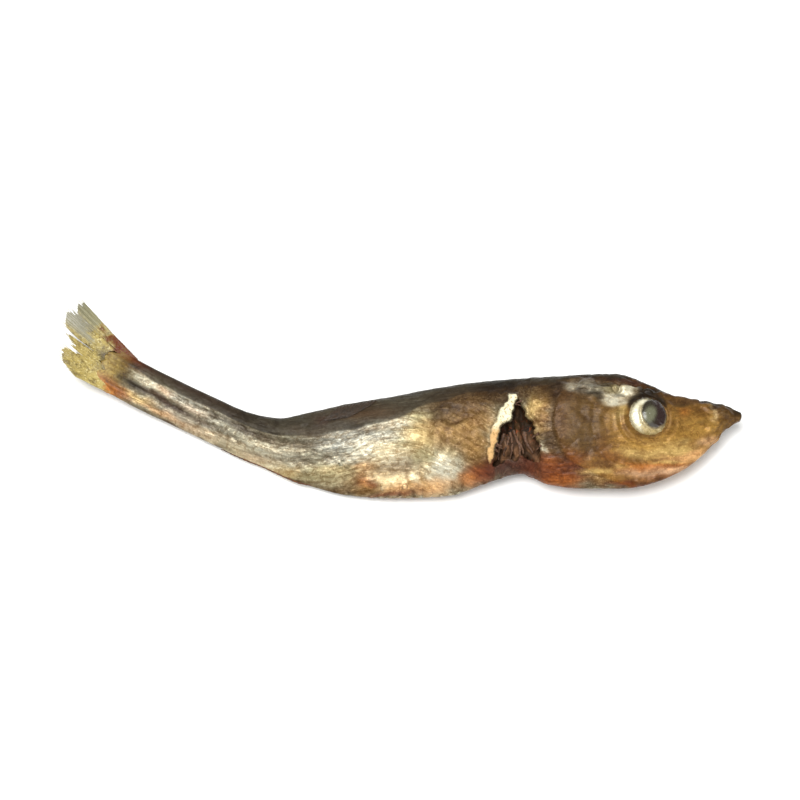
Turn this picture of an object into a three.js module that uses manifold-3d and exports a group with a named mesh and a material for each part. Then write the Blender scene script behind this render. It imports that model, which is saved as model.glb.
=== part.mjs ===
// A whole dried sprat, about 100 mm long: a small silver fish, shrunken and bent by drying, lying on
// its left side. The head is at +X and the back at +Y. +Z is up, and the fish rests on Z = 0. All
// lengths are in millimetres.
//
// The body is a loft of cross sections along a bent spine. Each place on its skin is known by `at`,
// the distance from the snout along the spine, and `up`, the distance from the spine towards the back.
// The eyes and fins are joined to the loft, and the mouth and the torn belly are cut out of it, so
// that the fish is one solid.
import * as THREE from "three";
import { mergeVertices } from "three/addons/utils/BufferGeometryUtils.js";
import Module from "manifold-3d";

// ------------------------------------------------------------------------------ driving dimensions

// The fish from the snout to the root of the tail fin.
//   back, belly: from the spine to the outline      half: half of the thickness
//   turn: the spine's heading, in degrees from straight back      rise: the spine's height
//   roll: how far the back leans up, in degrees      keel: how much the section narrows at the belly
const STATIONS = [
  { name: "snout", at: 0, back: 0.7, belly: 0.7, half: 0.8, turn: -10, rise: 4.0, roll: 0, keel: 0.1 },
  { name: "jaw", at: 3, back: 2.0, belly: 2.5, half: 1.6, turn: -14, rise: 4.05, roll: 0, keel: 0.3 },
  { name: "nostril", at: 6.5, back: 3.7, belly: 4.8, half: 2.4, turn: -15, rise: 4.1, roll: 0, keel: 0.42 },
  { name: "eye", at: 13, back: 6.9, belly: 8.0, half: 3.7, turn: -3, rise: 4.2, roll: 1, keel: 0.5 },
  { name: "cheek", at: 18, back: 8.3, belly: 9.0, half: 4.2, turn: 3, rise: 4.25, roll: 2, keel: 0.52 },
  { name: "gill cover", at: 23, back: 8.0, belly: 9.0, half: 4.4, turn: -1, rise: 4.25, roll: 3, keel: 0.5 },
  { name: "shoulder", at: 28, back: 7.9, belly: 8.1, half: 4.2, turn: -1, rise: 3.9, roll: 4, keel: 0.48 },
  { name: "tear", at: 32.5, back: 7.9, belly: 6.3, half: 4.0, turn: -4, rise: 3.72, roll: 5, keel: 0.45 },
  { name: "tear's end", at: 38, back: 7.9, belly: 7.2, half: 3.8, turn: -7, rise: 3.5, roll: 6, keel: 0.5 },
  { name: "belly", at: 43, back: 7.8, belly: 8.2, half: 3.7, turn: -7, rise: 3.33, roll: 7, keel: 0.6 },
  { name: "gut's end", at: 50, back: 7.2, belly: 7.8, half: 3.45, turn: -4, rise: 3.05, roll: 8, keel: 0.66 },
  { name: "vent", at: 57, back: 6.5, belly: 6.9, half: 3.0, turn: -2, rise: 2.7, roll: 10, keel: 0.66 },
  { name: "hip", at: 63, back: 5.3, belly: 5.1, half: 2.6, turn: 2.5, rise: 2.42, roll: 12, keel: 0.6 },
  { name: "stem", at: 69, back: 3.9, belly: 3.3, half: 2.15, turn: 17, rise: 2.25, roll: 14, keel: 0.5 },
  { name: "stalk", at: 76, back: 3.3, belly: 3.0, half: 1.75, turn: 26.5, rise: 2.3, roll: 14, keel: 0.4 },
  { name: "stalk's end", at: 86, back: 3.2, belly: 3.1, half: 1.3, turn: 26, rise: 2.75, roll: 12, keel: 0.3 },
  { name: "tail root", at: 92, back: 3.2, belly: 3.2, half: 0.75, turn: 30, rise: 3.3, roll: 8, keel: 0.2 },
];
const RINGS = 82; // sections along the body
const AROUND = 36; // points round each section
const HEAD_CROWDING = 0.28; // how much closer the first sections lie than evenly spaced ones
const SIDE_FULLNESS = 0.82; // under 1 fills the flanks out towards a box, 1 is an ellipse

const EYE = { at: 13.5, up: 1.1, radius: 3.1, flatness: 0.42, proud: 0.75, rim: 0.4, rimWidth: 0.7 };
const GILL_COVER = {
  rear: 27.35, highest: 0.3, curve: 0.062, sweepFrom: 5, sweep: 0.8, bend: 1.5,
  proud: 0.22, edge: 0.3, gutter: 0.3, fade: 4,
};
const MOUTH = { length: 6.2, gap: 0.35, drop: 24, startUp: 0.1, ahead: 0.8 };
const TEAR = { apexAt: 33, apexUp: 4.6, waistUp: -3.4, frontAt: 29.5, rearAt: 36.8, point: 1.7, depth: 3.0 };
const DORSAL_FIN = { from: 49, to: 60, ramp: 2, height: 0.75, width: 1.7, proud: 0.3 };
const ANAL_FIN = { from: 62, to: 74, steps: 12, rooted: 0.8, reach: 0.9, thickness: 0.6 };
const TAIL_FIN = { sunk: 1.5, halfWidth: 2.9, rows: 7, membrane: 0.42, ridge: 0.3, notch: 0.5, lift: 2.0 };

// The tail fin's rays from its lower edge to its upper one: their headings in degrees and their
// lengths.
const TAIL_RAYS = [
  { heading: 20, length: 5.8 },
  { heading: 26, length: 8.6 },
  { heading: 30, length: 9.5 },
  { heading: 33, length: 8.8 },
  { heading: 35, length: 9.6 },
  { heading: 38, length: 10.9 },
  { heading: 42, length: 11.5 },
  { heading: 41, length: 10.0 },
  { heading: 46, length: 10.6 },
];
const REST_FLAT = 0.3; // how much of the lower flank is pressed flat where the fish lies
const SPINE_STEP = 0.25; // the spine is added up in steps of this length
const CLEAR = 20; // how far a cutting shape reaches past what it cuts

// ------------------------------------------------------------------------------------- small tools

const radians = THREE.MathUtils.degToRad;
const clamp01 = (value) => Math.min(1, Math.max(0, value));
const smooth = (from, to, value) => {
  const t = clamp01((value - from) / (to - from));
  return t * t * (3 - 2 * t);
};

// A smooth curve through one column of the stations that never overshoots them (a monotone cubic).
function column(key) {
  const x = STATIONS.map((station) => station.at);
  const y = STATIONS.map((station) => station[key]);
  const step = x.slice(1).map((value, i) => value - x[i]);
  const rate = step.map((value, i) => (y[i + 1] - y[i]) / value);
  const slope = x.map((_, i) => {
    if (i === 0) return rate[0];
    if (i === x.length - 1) return rate[i - 1];
    if (rate[i - 1] * rate[i] <= 0) return 0;
    const before = 2 * step[i] + step[i - 1];
    const after = step[i] + 2 * step[i - 1];
    return (before + after) / (before / rate[i - 1] + after / rate[i]);
  });
  return (at) => {
    const last = x.length - 2;
    const found = x.findIndex((value, i) => i <= last && at <= x[i + 1]);
    const i = found < 0 ? last : found;
    const t = clamp01((at - x[i]) / step[i]);
    const start = (1 + 2 * t) * (1 - t) ** 2 * y[i] + t * (1 - t) ** 2 * step[i] * slope[i];
    const end = t * t * (3 - 2 * t) * y[i + 1] + t * t * (t - 1) * step[i] * slope[i + 1];
    return start + end;
  };
}

const back = column("back");
const belly = column("belly");
const half = column("half");
const turn = column("turn");
const rise = column("rise");
const roll = column("roll");
const keel = column("keel");
const bodyLength = STATIONS.at(-1).at;

// -------------------------------------------------------------------------------- spine and frames

// The spine's points, one for each step, added up from its heading.
const spine = [new THREE.Vector2(0, 0)];
for (let at = SPINE_STEP / 2; at < bodyLength; at += SPINE_STEP) {
  const heading = radians(turn(at));
  const step = new THREE.Vector2(-Math.cos(heading), Math.sin(heading)).multiplyScalar(SPINE_STEP);
  spine.push(step.add(spine.at(-1)));
}

// The place and axes of the section at a distance from the snout: tailwards, towards the back, and out
// of the flank.
function frameAt(at) {
  const index = Math.min(spine.length - 2, Math.max(0, Math.floor(at / SPINE_STEP)));
  const share = at / SPINE_STEP - index;
  const place = spine[index].clone().lerp(spine[index + 1], share);
  const heading = radians(turn(at));
  const lean = radians(roll(at));
  const across = new THREE.Vector3(Math.sin(heading), Math.cos(heading), 0);
  const vertical = new THREE.Vector3(0, 0, 1);
  return {
    origin: new THREE.Vector3(place.x, place.y, rise(at)),
    tailwards: new THREE.Vector3(-Math.cos(heading), Math.sin(heading), 0),
    backwards: across.clone().multiplyScalar(Math.cos(lean)).addScaledVector(vertical, Math.sin(lean)),
    outwards: vertical.clone().multiplyScalar(Math.cos(lean)).addScaledVector(across, -Math.sin(lean)),
  };
}

// A point given by its distance from the snout, its distance towards the back and its distance out of
// the flank.
function placed(at, up, out) {
  const frame = frameAt(at);
  return frame.origin.clone().addScaledVector(frame.backwards, up).addScaledVector(frame.outwards, out);
}

// ---------------------------------------------------------------------------------- relief of skin

// Where the gill cover's rear edge lies: upright beside the spine, and swept forward under the throat.
function gillEdge(up) {
  const bow = GILL_COVER.curve * (up - GILL_COVER.highest) ** 2;
  const sweep = GILL_COVER.sweep * Math.max(0, -up - GILL_COVER.sweepFrom) ** GILL_COVER.bend;
  return GILL_COVER.rear - bow - sweep;
}

// How far the skin stands out of the plain loft: the gill cover's edge, the rim of the eye, the folded
// dorsal fin.
function relief(at, up) {
  const behind = at - gillEdge(up);
  const past = smooth(-GILL_COVER.edge, GILL_COVER.edge, behind);
  const plate = GILL_COVER.proud * (1 - past);
  const gutter = -GILL_COVER.gutter * past * (1 - smooth(GILL_COVER.edge, GILL_COVER.fade, behind));
  const fromEye = Math.hypot(at - EYE.at, up - EYE.up) - EYE.radius;
  const rim = EYE.rim * Math.exp(-((fromEye / EYE.rimWidth) ** 2));
  const { from, to, ramp, height, width, proud } = DORSAL_FIN;
  const along = smooth(from, from + ramp, at) * (1 - smooth(to - ramp, to, at));
  const fold = proud * along * Math.exp(-(((up - height * back(at)) / width) ** 2));
  return plate + gutter + rim + fold;
}

// The skin's point at a distance from the snout and an angle round the section, which is 0 at the
// ridge of the back, a half turn at the keel of the belly, and in between on the upper flank.
function skin(at, angle) {
  const lift = Math.cos(angle);
  const side = Math.sin(angle);
  const up = lift * (lift > 0 ? back(at) : belly(at));
  const low = (1 - lift) / 2;
  const fullness = Math.abs(side) ** SIDE_FULLNESS;
  const out = half(at) * fullness * (1 - keel(at) * low * low) + relief(at, up) * fullness;
  return placed(at, up, Math.sign(side) * out);
}

// How far the upper flank stands out of the spine's plane, beside a point of it.
function flank(at, up) {
  const lift = Math.min(0.999, Math.max(-0.999, up / (up > 0 ? back(at) : belly(at))));
  const low = (1 - lift) / 2;
  return half(at) * Math.sqrt(1 - lift * lift) ** SIDE_FULLNESS * (1 - keel(at) * low * low);
}

// ------------------------------------------------------------------------------------- solid tools

const wasm = await Module();
wasm.setup();

function solidOf(geometry) {
  const bare = geometry.clone();
  bare.deleteAttribute("normal");
  bare.deleteAttribute("uv");
  const merged = mergeVertices(bare, 1e-4);
  const mesh = new wasm.Mesh({
    numProp: 3,
    vertProperties: new Float32Array(merged.getAttribute("position").array),
    triVerts: new Uint32Array(merged.index.array),
  });
  return new wasm.Manifold(mesh);
}

function geometryOf(solid) {
  const mesh = solid.getMesh();
  const geometry = new THREE.BufferGeometry();
  geometry.setAttribute("position", new THREE.BufferAttribute(new Float32Array(mesh.vertProperties), 3));
  geometry.setIndex(new THREE.BufferAttribute(new Uint32Array(mesh.triVerts), 1));
  geometry.computeVertexNormals();
  return geometry;
}

// A closed loft: rings of points, each ring joined to the next, with a fan over each end.
function loft(rings) {
  const count = rings[0].length;
  const centres = [rings[0], rings.at(-1)].map((ring) =>
    ring.reduce((sum, point) => sum.add(point), new THREE.Vector3()).divideScalar(count),
  );
  const points = [...rings.flat(), ...centres];
  const [firstCentre, lastCentre] = [points.length - 2, points.length - 1];
  const faces = [];
  for (let i = 0; i < count; i++) {
    const next = (i + 1) % count;
    faces.push(firstCentre, i, next);
    faces.push(lastCentre, (rings.length - 1) * count + next, (rings.length - 1) * count + i);
    for (let ring = 0; ring < rings.length - 1; ring++) {
      const near = ring * count;
      const far = near + count;
      faces.push(near + i, far + i, near + next, near + next, far + i, far + next);
    }
  }
  const geometry = new THREE.BufferGeometry().setFromPoints(points);
  geometry.setIndex(faces);
  return geometry;
}

// -------------------------------------------------------------------------------- the fish's parts

// Sections lie closer together on the head, where the form changes faster.
function body() {
  const rings = [];
  for (let ring = 0; ring <= RINGS; ring++) {
    const share = ring / RINGS;
    const at = bodyLength * share * (1 - HEAD_CROWDING * (1 - share));
    const points = [];
    for (let i = 0; i < AROUND; i++) points.push(skin(at, (i / AROUND) * 2 * Math.PI));
    rings.push(points);
  }
  return solidOf(loft(rings));
}

// One eyeball, a flattened ball that stands a little out of the flank. The side is 1 for the upper
// flank, -1 below.
function eye(side) {
  const height = flank(EYE.at, EYE.up) + EYE.proud - EYE.radius * EYE.flatness;
  const ball = new THREE.SphereGeometry(EYE.radius, 22, 12);
  ball.rotateX(Math.PI / 2);
  ball.scale(1, 1, EYE.flatness);
  ball.translate(...placed(EYE.at, EYE.up, side * height).toArray());
  return solidOf(ball);
}

// A thin wedge of air between the jaws, from the snout back and down.
function mouthGap() {
  const gap = new THREE.BoxGeometry(MOUTH.length, MOUTH.gap, CLEAR);
  gap.translate(MOUTH.ahead - MOUTH.length / 2, 0, 0);
  gap.rotateZ(radians(MOUTH.drop));
  gap.translate(...placed(0, MOUTH.startUp, 0).toArray());
  return solidOf(gap);
}

// The torn place behind the gill cover: a pointed arch, open at the belly, cut into the upper flank.
function tear() {
  const { apexAt, apexUp, waistUp, frontAt, rearAt, point } = TEAR;
  const side = (edgeAt, up) => {
    const risen = clamp01((up - waistUp) / (apexUp - waistUp));
    return placed(apexAt + (edgeAt - apexAt) * (1 - risen ** point), up, 0);
  };
  const heights = [-CLEAR];
  for (let step = 0; step < 9; step++) heights.push(waistUp + ((apexUp - waistUp) * step) / 9);
  const front = heights.map((up) => side(frontAt, up));
  const rear = heights.map((up) => side(rearAt, up)).reverse();
  const outline = [...front, placed(apexAt, apexUp, 0), ...rear].map(({ x, y }) => new THREE.Vector2(x, y));
  const cutter = new THREE.ExtrudeGeometry(new THREE.Shape(outline), { depth: CLEAR, bevelEnabled: false });
  cutter.translate(0, 0, rise(apexAt) + half(apexAt) - TEAR.depth);
  return solidOf(cutter);
}

// The anal fin, dried down to a low blade under the belly's edge behind the vent.
function analFin() {
  const rings = [];
  for (let step = 0; step <= ANAL_FIN.steps; step++) {
    const share = step / ANAL_FIN.steps;
    const at = ANAL_FIN.from + (ANAL_FIN.to - ANAL_FIN.from) * share;
    const reach = ANAL_FIN.reach * smooth(-0.1, 0.25, share) * (1 - share);
    const edge = -belly(at);
    const root = ANAL_FIN.thickness / 2;
    const tip = root / 2;
    rings.push([
      placed(at, edge + ANAL_FIN.rooted, root),
      placed(at, edge - reach, tip),
      placed(at, edge - reach, -tip),
      placed(at, edge + ANAL_FIN.rooted, -root),
    ]);
  }
  return solidOf(loft(rings));
}

// The tail fin: stiff rays side by side with thin skin between them, uneven at the tips.
function tailFin() {
  const { sunk, halfWidth, rows, membrane, ridge, notch, lift } = TAIL_FIN;
  const columns = (TAIL_RAYS.length - 1) * 2;
  // Even columns are rays, and odd ones are the skin between two of them.
  const point = (row, column, side) => {
    const [ray, next] = [TAIL_RAYS[Math.floor(column / 2)], TAIL_RAYS[Math.ceil(column / 2)]];
    const isSkin = column % 2;
    const across = ((column / columns) * 2 - 1) * halfWidth;
    const heading = radians((ray.heading + next.heading) / 2);
    const length = (ray.length + next.length) / 2 - isSkin * notch;
    const share = row / rows;
    const thick = membrane / 2 + (1 - isSkin) * (ridge / 2) * (1 - share / 2);
    const root = placed(bodyLength - sunk, across, 0);
    const tip = placed(bodyLength, across, 0);
    tip.add(new THREE.Vector3(-Math.cos(heading) * length, Math.sin(heading) * length, 0));
    return root.lerp(tip, share).add(new THREE.Vector3(0, 0, lift * share * share + side * thick));
  };
  const rings = [];
  for (let row = 0; row <= rows; row++) {
    const ring = [];
    for (let column = columns; column >= 0; column--) ring.push(point(row, column, 1));
    for (let column = 0; column <= columns; column++) ring.push(point(row, column, -1));
    rings.push(ring);
  }
  return solidOf(loft(rings));
}

// ---------------------------------------------------------------------------------- the whole fish

// Everything below the table's top, Z = 0.
function belowTable() {
  const block = new THREE.BoxGeometry(3 * bodyLength, bodyLength, CLEAR);
  block.translate(-bodyLength / 2, 0, -CLEAR / 2);
  return solidOf(block);
}

function driedSprat() {
  const withEyes = body().subtract(tear()).add(eye(1)).add(eye(-1));
  const whole = withEyes.add(analFin()).add(tailFin()).subtract(mouthGap());
  const lowest = whole.boundingBox().min[2];
  const resting = whole.translate(0, 0, -lowest - REST_FLAT).subtract(belowTable());
  const { min, max } = resting.boundingBox();
  return resting.translate(-(min[0] + max[0]) / 2, -(min[1] + max[1]) / 2, 0);
}

const driedSkin = new THREE.MeshStandardMaterial({ color: 0x9a9078, roughness: 0.45, metalness: 0.3 });

const group = new THREE.Group();
const fish = new THREE.Mesh(geometryOf(driedSprat()), driedSkin);
fish.name = "dried_sprat";
group.add(fish);

export default group;
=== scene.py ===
import math
import bpy
import numpy as np
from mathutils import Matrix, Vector


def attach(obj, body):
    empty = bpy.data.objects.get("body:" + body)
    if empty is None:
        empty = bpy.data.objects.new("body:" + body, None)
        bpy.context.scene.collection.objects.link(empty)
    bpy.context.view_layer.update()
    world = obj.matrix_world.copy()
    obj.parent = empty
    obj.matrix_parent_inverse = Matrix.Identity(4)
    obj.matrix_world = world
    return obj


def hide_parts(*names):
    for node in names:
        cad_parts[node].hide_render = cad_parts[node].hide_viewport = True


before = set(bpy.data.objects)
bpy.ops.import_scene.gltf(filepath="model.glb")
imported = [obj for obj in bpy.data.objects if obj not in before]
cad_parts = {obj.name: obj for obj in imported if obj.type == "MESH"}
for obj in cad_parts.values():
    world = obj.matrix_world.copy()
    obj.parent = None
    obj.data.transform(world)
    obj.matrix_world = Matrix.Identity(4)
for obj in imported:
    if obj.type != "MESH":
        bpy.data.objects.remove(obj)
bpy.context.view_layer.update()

# A dried sprat lying on its left side, its head at +X and its back at +Y.
# Shapes are worked out in millimetres and made metres when a mesh is written.
mm = 0.001


# ---- small sums used all over

def smooth(low, high, value):
    t = np.clip((np.asarray(value, float) - low) / (high - low), 0, 1)
    return t * t * (3 - 2 * t)


def hump(value, centre, width):
    return np.exp(-(((value - centre) / width) ** 2))


def spots(at, up, places):
    # soft patches, each one (along, up, reach along, reach up, amount)
    total = np.zeros_like(at)
    for alongSpot, upSpot, reachAlong, reachUp, amount in places:
        total = total + amount * np.exp(-(((at - alongSpot) / reachAlong) ** 2 + ((up - upSpot) / reachUp) ** 2))
    return total


def grain(points, size, seed, octaves=1):
    # smooth random values from -1 to 1 over space, finer and fainter with each octave
    total, strength, weightSum = 0.0, 1.0, 0.0
    for octave in range(octaves):
        place = points / size * (2.03 ** octave) + 17.3 * octave
        cell = np.floor(place).astype(np.int64)
        part = place - cell
        part = part * part * (3 - 2 * part)
        value = 0.0
        for corner in range(8):
            step = np.array([corner & 1, corner >> 1 & 1, corner >> 2 & 1])
            near = cell + step
            mixed = near[..., 0] * 374761393 + near[..., 1] * 668265263 + near[..., 2] * 1440662683
            mixed = (mixed + (seed + octave * 31) * 1274126177) & 0xFFFFFFFF
            mixed = ((mixed ^ (mixed >> 13)) * 1274126177) & 0xFFFFFFFF
            mixed = (mixed ^ (mixed >> 16)) & 0xFFFF
            weight = np.prod(np.where(step == 1, part, 1 - part), axis=-1)
            value = value + mixed / 65535.0 * weight
        total = total + strength * (value * 2 - 1)
        weightSum += strength
        strength *= 0.5
    return total / weightSum


def softPath(points, cuts=3):
    # rounds the corners of a path by cutting them off
    path = np.array(points, float)
    for _ in range(cuts):
        near, far = path[:-1] * 0.75 + path[1:] * 0.25, path[:-1] * 0.25 + path[1:] * 0.75
        path = np.vstack([path[:1], np.stack([near, far], 1).reshape(-1, path.shape[1]), path[-1:]])
    return path


def fromPath(at, up, points):
    # distance to a path drawn on the skin, and which side of it a place is on
    path = softPath(points)
    best = np.full(at.shape, 1e9)
    side = np.zeros(at.shape)
    for start, end in zip(path[:-1], path[1:]):
        step = end - start
        length = max(1e-9, step @ step)
        share = np.clip(((at - start[0]) * step[0] + (up - start[1]) * step[1]) / length, 0, 1)
        awayAt, awayUp = at - start[0] - share * step[0], up - start[1] - share * step[1]
        gap = np.hypot(awayAt, awayUp)
        closer = gap < best
        best = np.where(closer, gap, best)
        side = np.where(closer, np.sign(step[0] * awayUp - step[1] * awayAt), side)
    return best, side


# ---- the form of the fish, as in the CAD part

fishForm = {
    # along the spine from the snout: back, belly: spine to outline; half: half thickness;
    # turn: heading; rise: height; roll: lean of the back; keel: narrowing at the belly
    "columns": ("at", "back", "belly", "half", "turn", "rise", "roll", "keel"),
    "stations": (
        (0.0, 0.75, 0.75, 0.8, 8, 4.0, 0, 0.1),
        (3.0, 2.1, 2.5, 1.6, -10, 4.05, 0, 0.3),
        (6.5, 3.7, 4.8, 2.4, -15, 4.1, 0, 0.42),
        (13.0, 6.9, 8.0, 3.7, -3, 4.2, 1, 0.5),
        (18.0, 8.3, 9.0, 4.2, 3, 4.25, 2, 0.52),
        (23.0, 8.0, 9.0, 4.4, -1, 4.25, 3, 0.5),
        (28.0, 7.9, 8.1, 4.2, -1, 3.9, 4, 0.48),
        (32.5, 7.9, 6.3, 4.0, -4, 3.72, 5, 0.45),
        (38.0, 7.9, 7.2, 3.8, -7, 3.5, 6, 0.5),
        (43.0, 7.8, 8.2, 3.7, -7, 3.33, 7, 0.6),
        (50.0, 7.2, 7.8, 3.45, -4, 3.05, 8, 0.66),
        (57.0, 6.5, 6.9, 3.0, -2, 2.7, 10, 0.66),
        (63.0, 5.3, 5.1, 2.6, 2.5, 2.42, 12, 0.6),
        (69.0, 3.9, 3.3, 2.15, 17, 2.25, 14, 0.5),
        (76.0, 3.3, 3.0, 1.75, 26.5, 2.3, 14, 0.4),
        (86.0, 3.2, 3.1, 1.3, 26, 2.75, 12, 0.3),
        (92.0, 3.2, 3.2, 0.75, 30, 3.3, 8, 0.2),
        (95.4, 3.1, 3.1, 0.24, 33, 3.58, 6, 0.1),
        (97.0, 3.1, 3.1, 0.04, 34, 3.74, 6, 0.1),
    ),
    "start": (49.018, -2.542, -0.294),  # where the spine starts, beside the part's origin
    "fullness": 0.82,
    "length": 97.0,
    "table": 0.02,  # nothing on the fish goes lower than this
}


def columnOf(name):
    # a smooth curve through one column of the stations that never overshoots them
    pick = fishForm["columns"].index(name)
    x = np.array([row[0] for row in fishForm["stations"]], float)
    y = np.array([row[pick] for row in fishForm["stations"]], float)
    step = np.diff(x)
    rate = np.diff(y) / step
    slope = np.zeros(len(x))
    slope[0], slope[-1] = rate[0], rate[-1]
    for i in range(1, len(x) - 1):
        if rate[i - 1] * rate[i] > 0:
            before, after = 2 * step[i] + step[i - 1], step[i] + 2 * step[i - 1]
            slope[i] = (before + after) / (before / rate[i - 1] + after / rate[i])

    def value(at):
        i = np.clip(np.searchsorted(x, at, side="left") - 1, 0, len(x) - 2)
        t = np.clip((at - x[i]) / step[i], 0, 1)
        start = (1 + 2 * t) * (1 - t) ** 2 * y[i] + t * (1 - t) ** 2 * step[i] * slope[i]
        return start + t * t * (3 - 2 * t) * y[i + 1] + t * t * (t - 1) * step[i] * slope[i + 1]

    return value


form = {name: columnOf(name) for name in fishForm["columns"][1:]}
spineStep = 0.25
spineMarks = np.arange(0, fishForm["length"] + spineStep, spineStep)
spineTurn = np.radians(form["turn"](spineMarks[:-1] + spineStep / 2))
spinePath = np.vstack([[0, 0], np.cumsum(np.stack([-np.cos(spineTurn), np.sin(spineTurn)], 1) * spineStep, 0)])


def placed(at, up, out):
    # a point from its distance along the spine, towards the back and out of the upper flank
    at, up, out = np.broadcast_arrays(*(np.asarray(v, float) for v in (at, up, out)))
    turn, lean = np.radians(form["turn"](at)), np.radians(form["roll"](at))
    across = up * np.cos(lean) - out * np.sin(lean)
    x = np.interp(at, spineMarks, spinePath[:, 0]) + np.sin(turn) * across
    y = np.interp(at, spineMarks, spinePath[:, 1]) + np.cos(turn) * across
    z = form["rise"](at) + up * np.sin(lean) + out * np.cos(lean)
    return np.stack([x, y, z], -1) + np.array(fishForm["start"])


def reachOf(at, up):
    return np.where(up > 0, form["back"](at), form["belly"](at))


def flankAt(at, up):
    # how far the plain flank stands out of the spine's plane
    lift = np.clip(up / reachOf(at, up), -0.9999, 0.9999)
    low = (1 - lift) / 2
    return form["half"](at) * np.sqrt(1 - lift * lift) ** fishForm["fullness"] * (1 - form["keel"](at) * low * low)


# ---- what stands on the head, the gill cover and the body, in (along, up) on either flank

headForm = {
    "eye": (13.5, 1.1, 2.95),  # along, up, radius
    "gillRear": 27.35, "gillHighest": 0.3, "gillCurve": 0.062,
    "gillSweepFrom": 5, "gillSweep": 0.8, "gillBend": 1.5,
    "preopercle": [(19.4, 4.6), (20.4, 1.9), (20.9, -1.3), (19.8, -4.1), (16.6, -6.1), (13.4, -6.3), (10.4, -5.0)],
    "seam": [(27.0, -2.4), (25.0, -3.9), (22.4, -5.0), (19.6, -6.3), (17.0, -7.2)],
    "jawEdge": [(4.6, -2.8), (7.0, -4.2), (10.8, -6.3), (14.6, -7.6)],
    "cheekbone": [(11.0, 4.8), (9.2, 2.6), (9.0, -0.4), (10.6, -2.8), (13.6, -3.9), (16.8, -2.9), (18.4, -0.4), (18.2, 2.2)],
    "browRidge": [(5.2, 2.7), (8.8, 4.2), (12.6, 5.1), (16.2, 5.4), (20.2, 5.6)],
    "maxilla": [(1.4, 0.15), (3.0, -0.5), (4.4, -1.7), (5.6, -3.3)],
    "mouth": [(-0.6, -0.5), (0.8, -0.75), (1.7, -1.3), (2.4, -1.9)],
    "nostrils": [(5.3, 1.7, 0.34), (6.2, 2.1, 0.26)],
}

tearForm = {
    "apexAt": 32.3, "apexUp": 4.5, "waistUp": -3.6, "frontAt": 29.3, "rearAt": 36.4, "point": 1.6,
    "depth": 2.7, "wall": 0.42, "ragged": 0.5, "overhang": 0.45, "flapRise": 0.62, "rim": -4.9,
    "shelf": 1.55,  # how far the flap's upper part reaches over the tear
}

scaleForm = {"length": 1.42, "width": 1.26}


def gillEdge(up):
    bow = headForm["gillCurve"] * (up - headForm["gillHighest"]) ** 2
    drop = np.maximum(0, -up - headForm["gillSweepFrom"])
    return headForm["gillRear"] - bow - headForm["gillSweep"] * drop ** headForm["gillBend"]


def shelfAt(up):
    return smooth(0.3, 0.9, up) * np.clip(1.25 - up / 3.6, 0, 1)


def tearEdges(at, up, rough):
    # how far inside the torn arch a place is, and how far behind its rear edge
    f = tearForm
    risen = np.clip((up - f["waistUp"]) / (f["apexUp"] - f["waistUp"]), 0, 1)
    width = 1 - risen ** f["point"]
    front = f["apexAt"] + (f["frontAt"] - f["apexAt"]) * width
    rear = f["apexAt"] + (f["rearAt"] - f["apexAt"]) * width - f["shelf"] * shelfAt(up)
    inside = np.minimum(np.minimum(at - front, rear - at), (f["apexUp"] - up) * 0.9)
    inside = np.minimum(inside, (up - f["rim"]) * 0.45) + rough
    return inside, at - rear - rough, front - at - rough


def scaleNet(at, across):
    # overlapping scales in staggered rows: height over each scale, 1 at its free rear edge
    row = np.floor(across / scaleForm["width"])
    part = across / scaleForm["width"] - row - 0.5
    step = at / scaleForm["length"] + 0.5 * (row % 2) + 1.5 * part * part
    return step - np.floor(step)


def ripple(value, sharp=1.0):
    # ridges a unit apart, from -1 to 1, with narrow creases where sharp is over 1
    return 2 * (0.5 + 0.5 * np.cos(2 * np.pi * value)) ** (1 / sharp) - 1


print("sprat: form ready, spine", len(spinePath), "steps")


# ---- meshes

def makeMesh(name, points, faces, attributes=None):
    # points in millimetres, attributes as one number for each point
    mesh = bpy.data.meshes.new(name)
    mesh.from_pydata((np.asarray(points) * mm).tolist(), [], faces)
    for key, values in (attributes or {}).items():
        mesh.attributes.new(key, "FLOAT", "POINT").data.foreach_set("value", np.asarray(values, np.float32).ravel())
    mesh.shade_smooth()
    mesh.update()
    return mesh


def makePiece(name, mesh, material):
    piece = bpy.data.objects.new(name, mesh)
    bpy.context.scene.collection.objects.link(piece)
    mesh.materials.clear()
    mesh.materials.append(material)
    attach(piece, "root")
    return piece


def gridFaces(rings, around, closed=True):
    # quads between rings of points, facing out when the rings run tailwards
    ring, spot = np.meshgrid(np.arange(rings - 1), np.arange(around if closed else around - 1), indexing="ij")
    beside = (spot + 1) % around
    quads = [ring * around + spot, (ring + 1) * around + spot, (ring + 1) * around + beside, ring * around + beside]
    return np.stack(quads, -1).reshape(-1, 4).tolist()


def capFaces(centre, first, around, turned):
    order = [(spot, (spot + 1) % around) for spot in range(around)]
    return [[centre, first + (b if turned else a), first + (a if turned else b)] for a, b in order]


def gridNormals(points):
    # outward directions on a closed grid of rings
    alongStep = np.gradient(points, axis=0)
    roundStep = np.roll(points, -1, 1) - np.roll(points, 1, 1)
    normals = np.cross(alongStep, roundStep)
    return normals / np.maximum(1e-9, np.linalg.norm(normals, axis=-1, keepdims=True))


# ---- the skin: rings from the snout to the tail's root

skinForm = {
    "fineStep": 0.19, "coarseStep": 0.262, "fineTo": 40.0,
    "upperPoints": 132, "lowerPoints": 90,
    "noseRings": 7, "noseReach": 0.45,
    "tailFray": 2.2,  # how unevenly the skin ends on the tail fin
}

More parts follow.
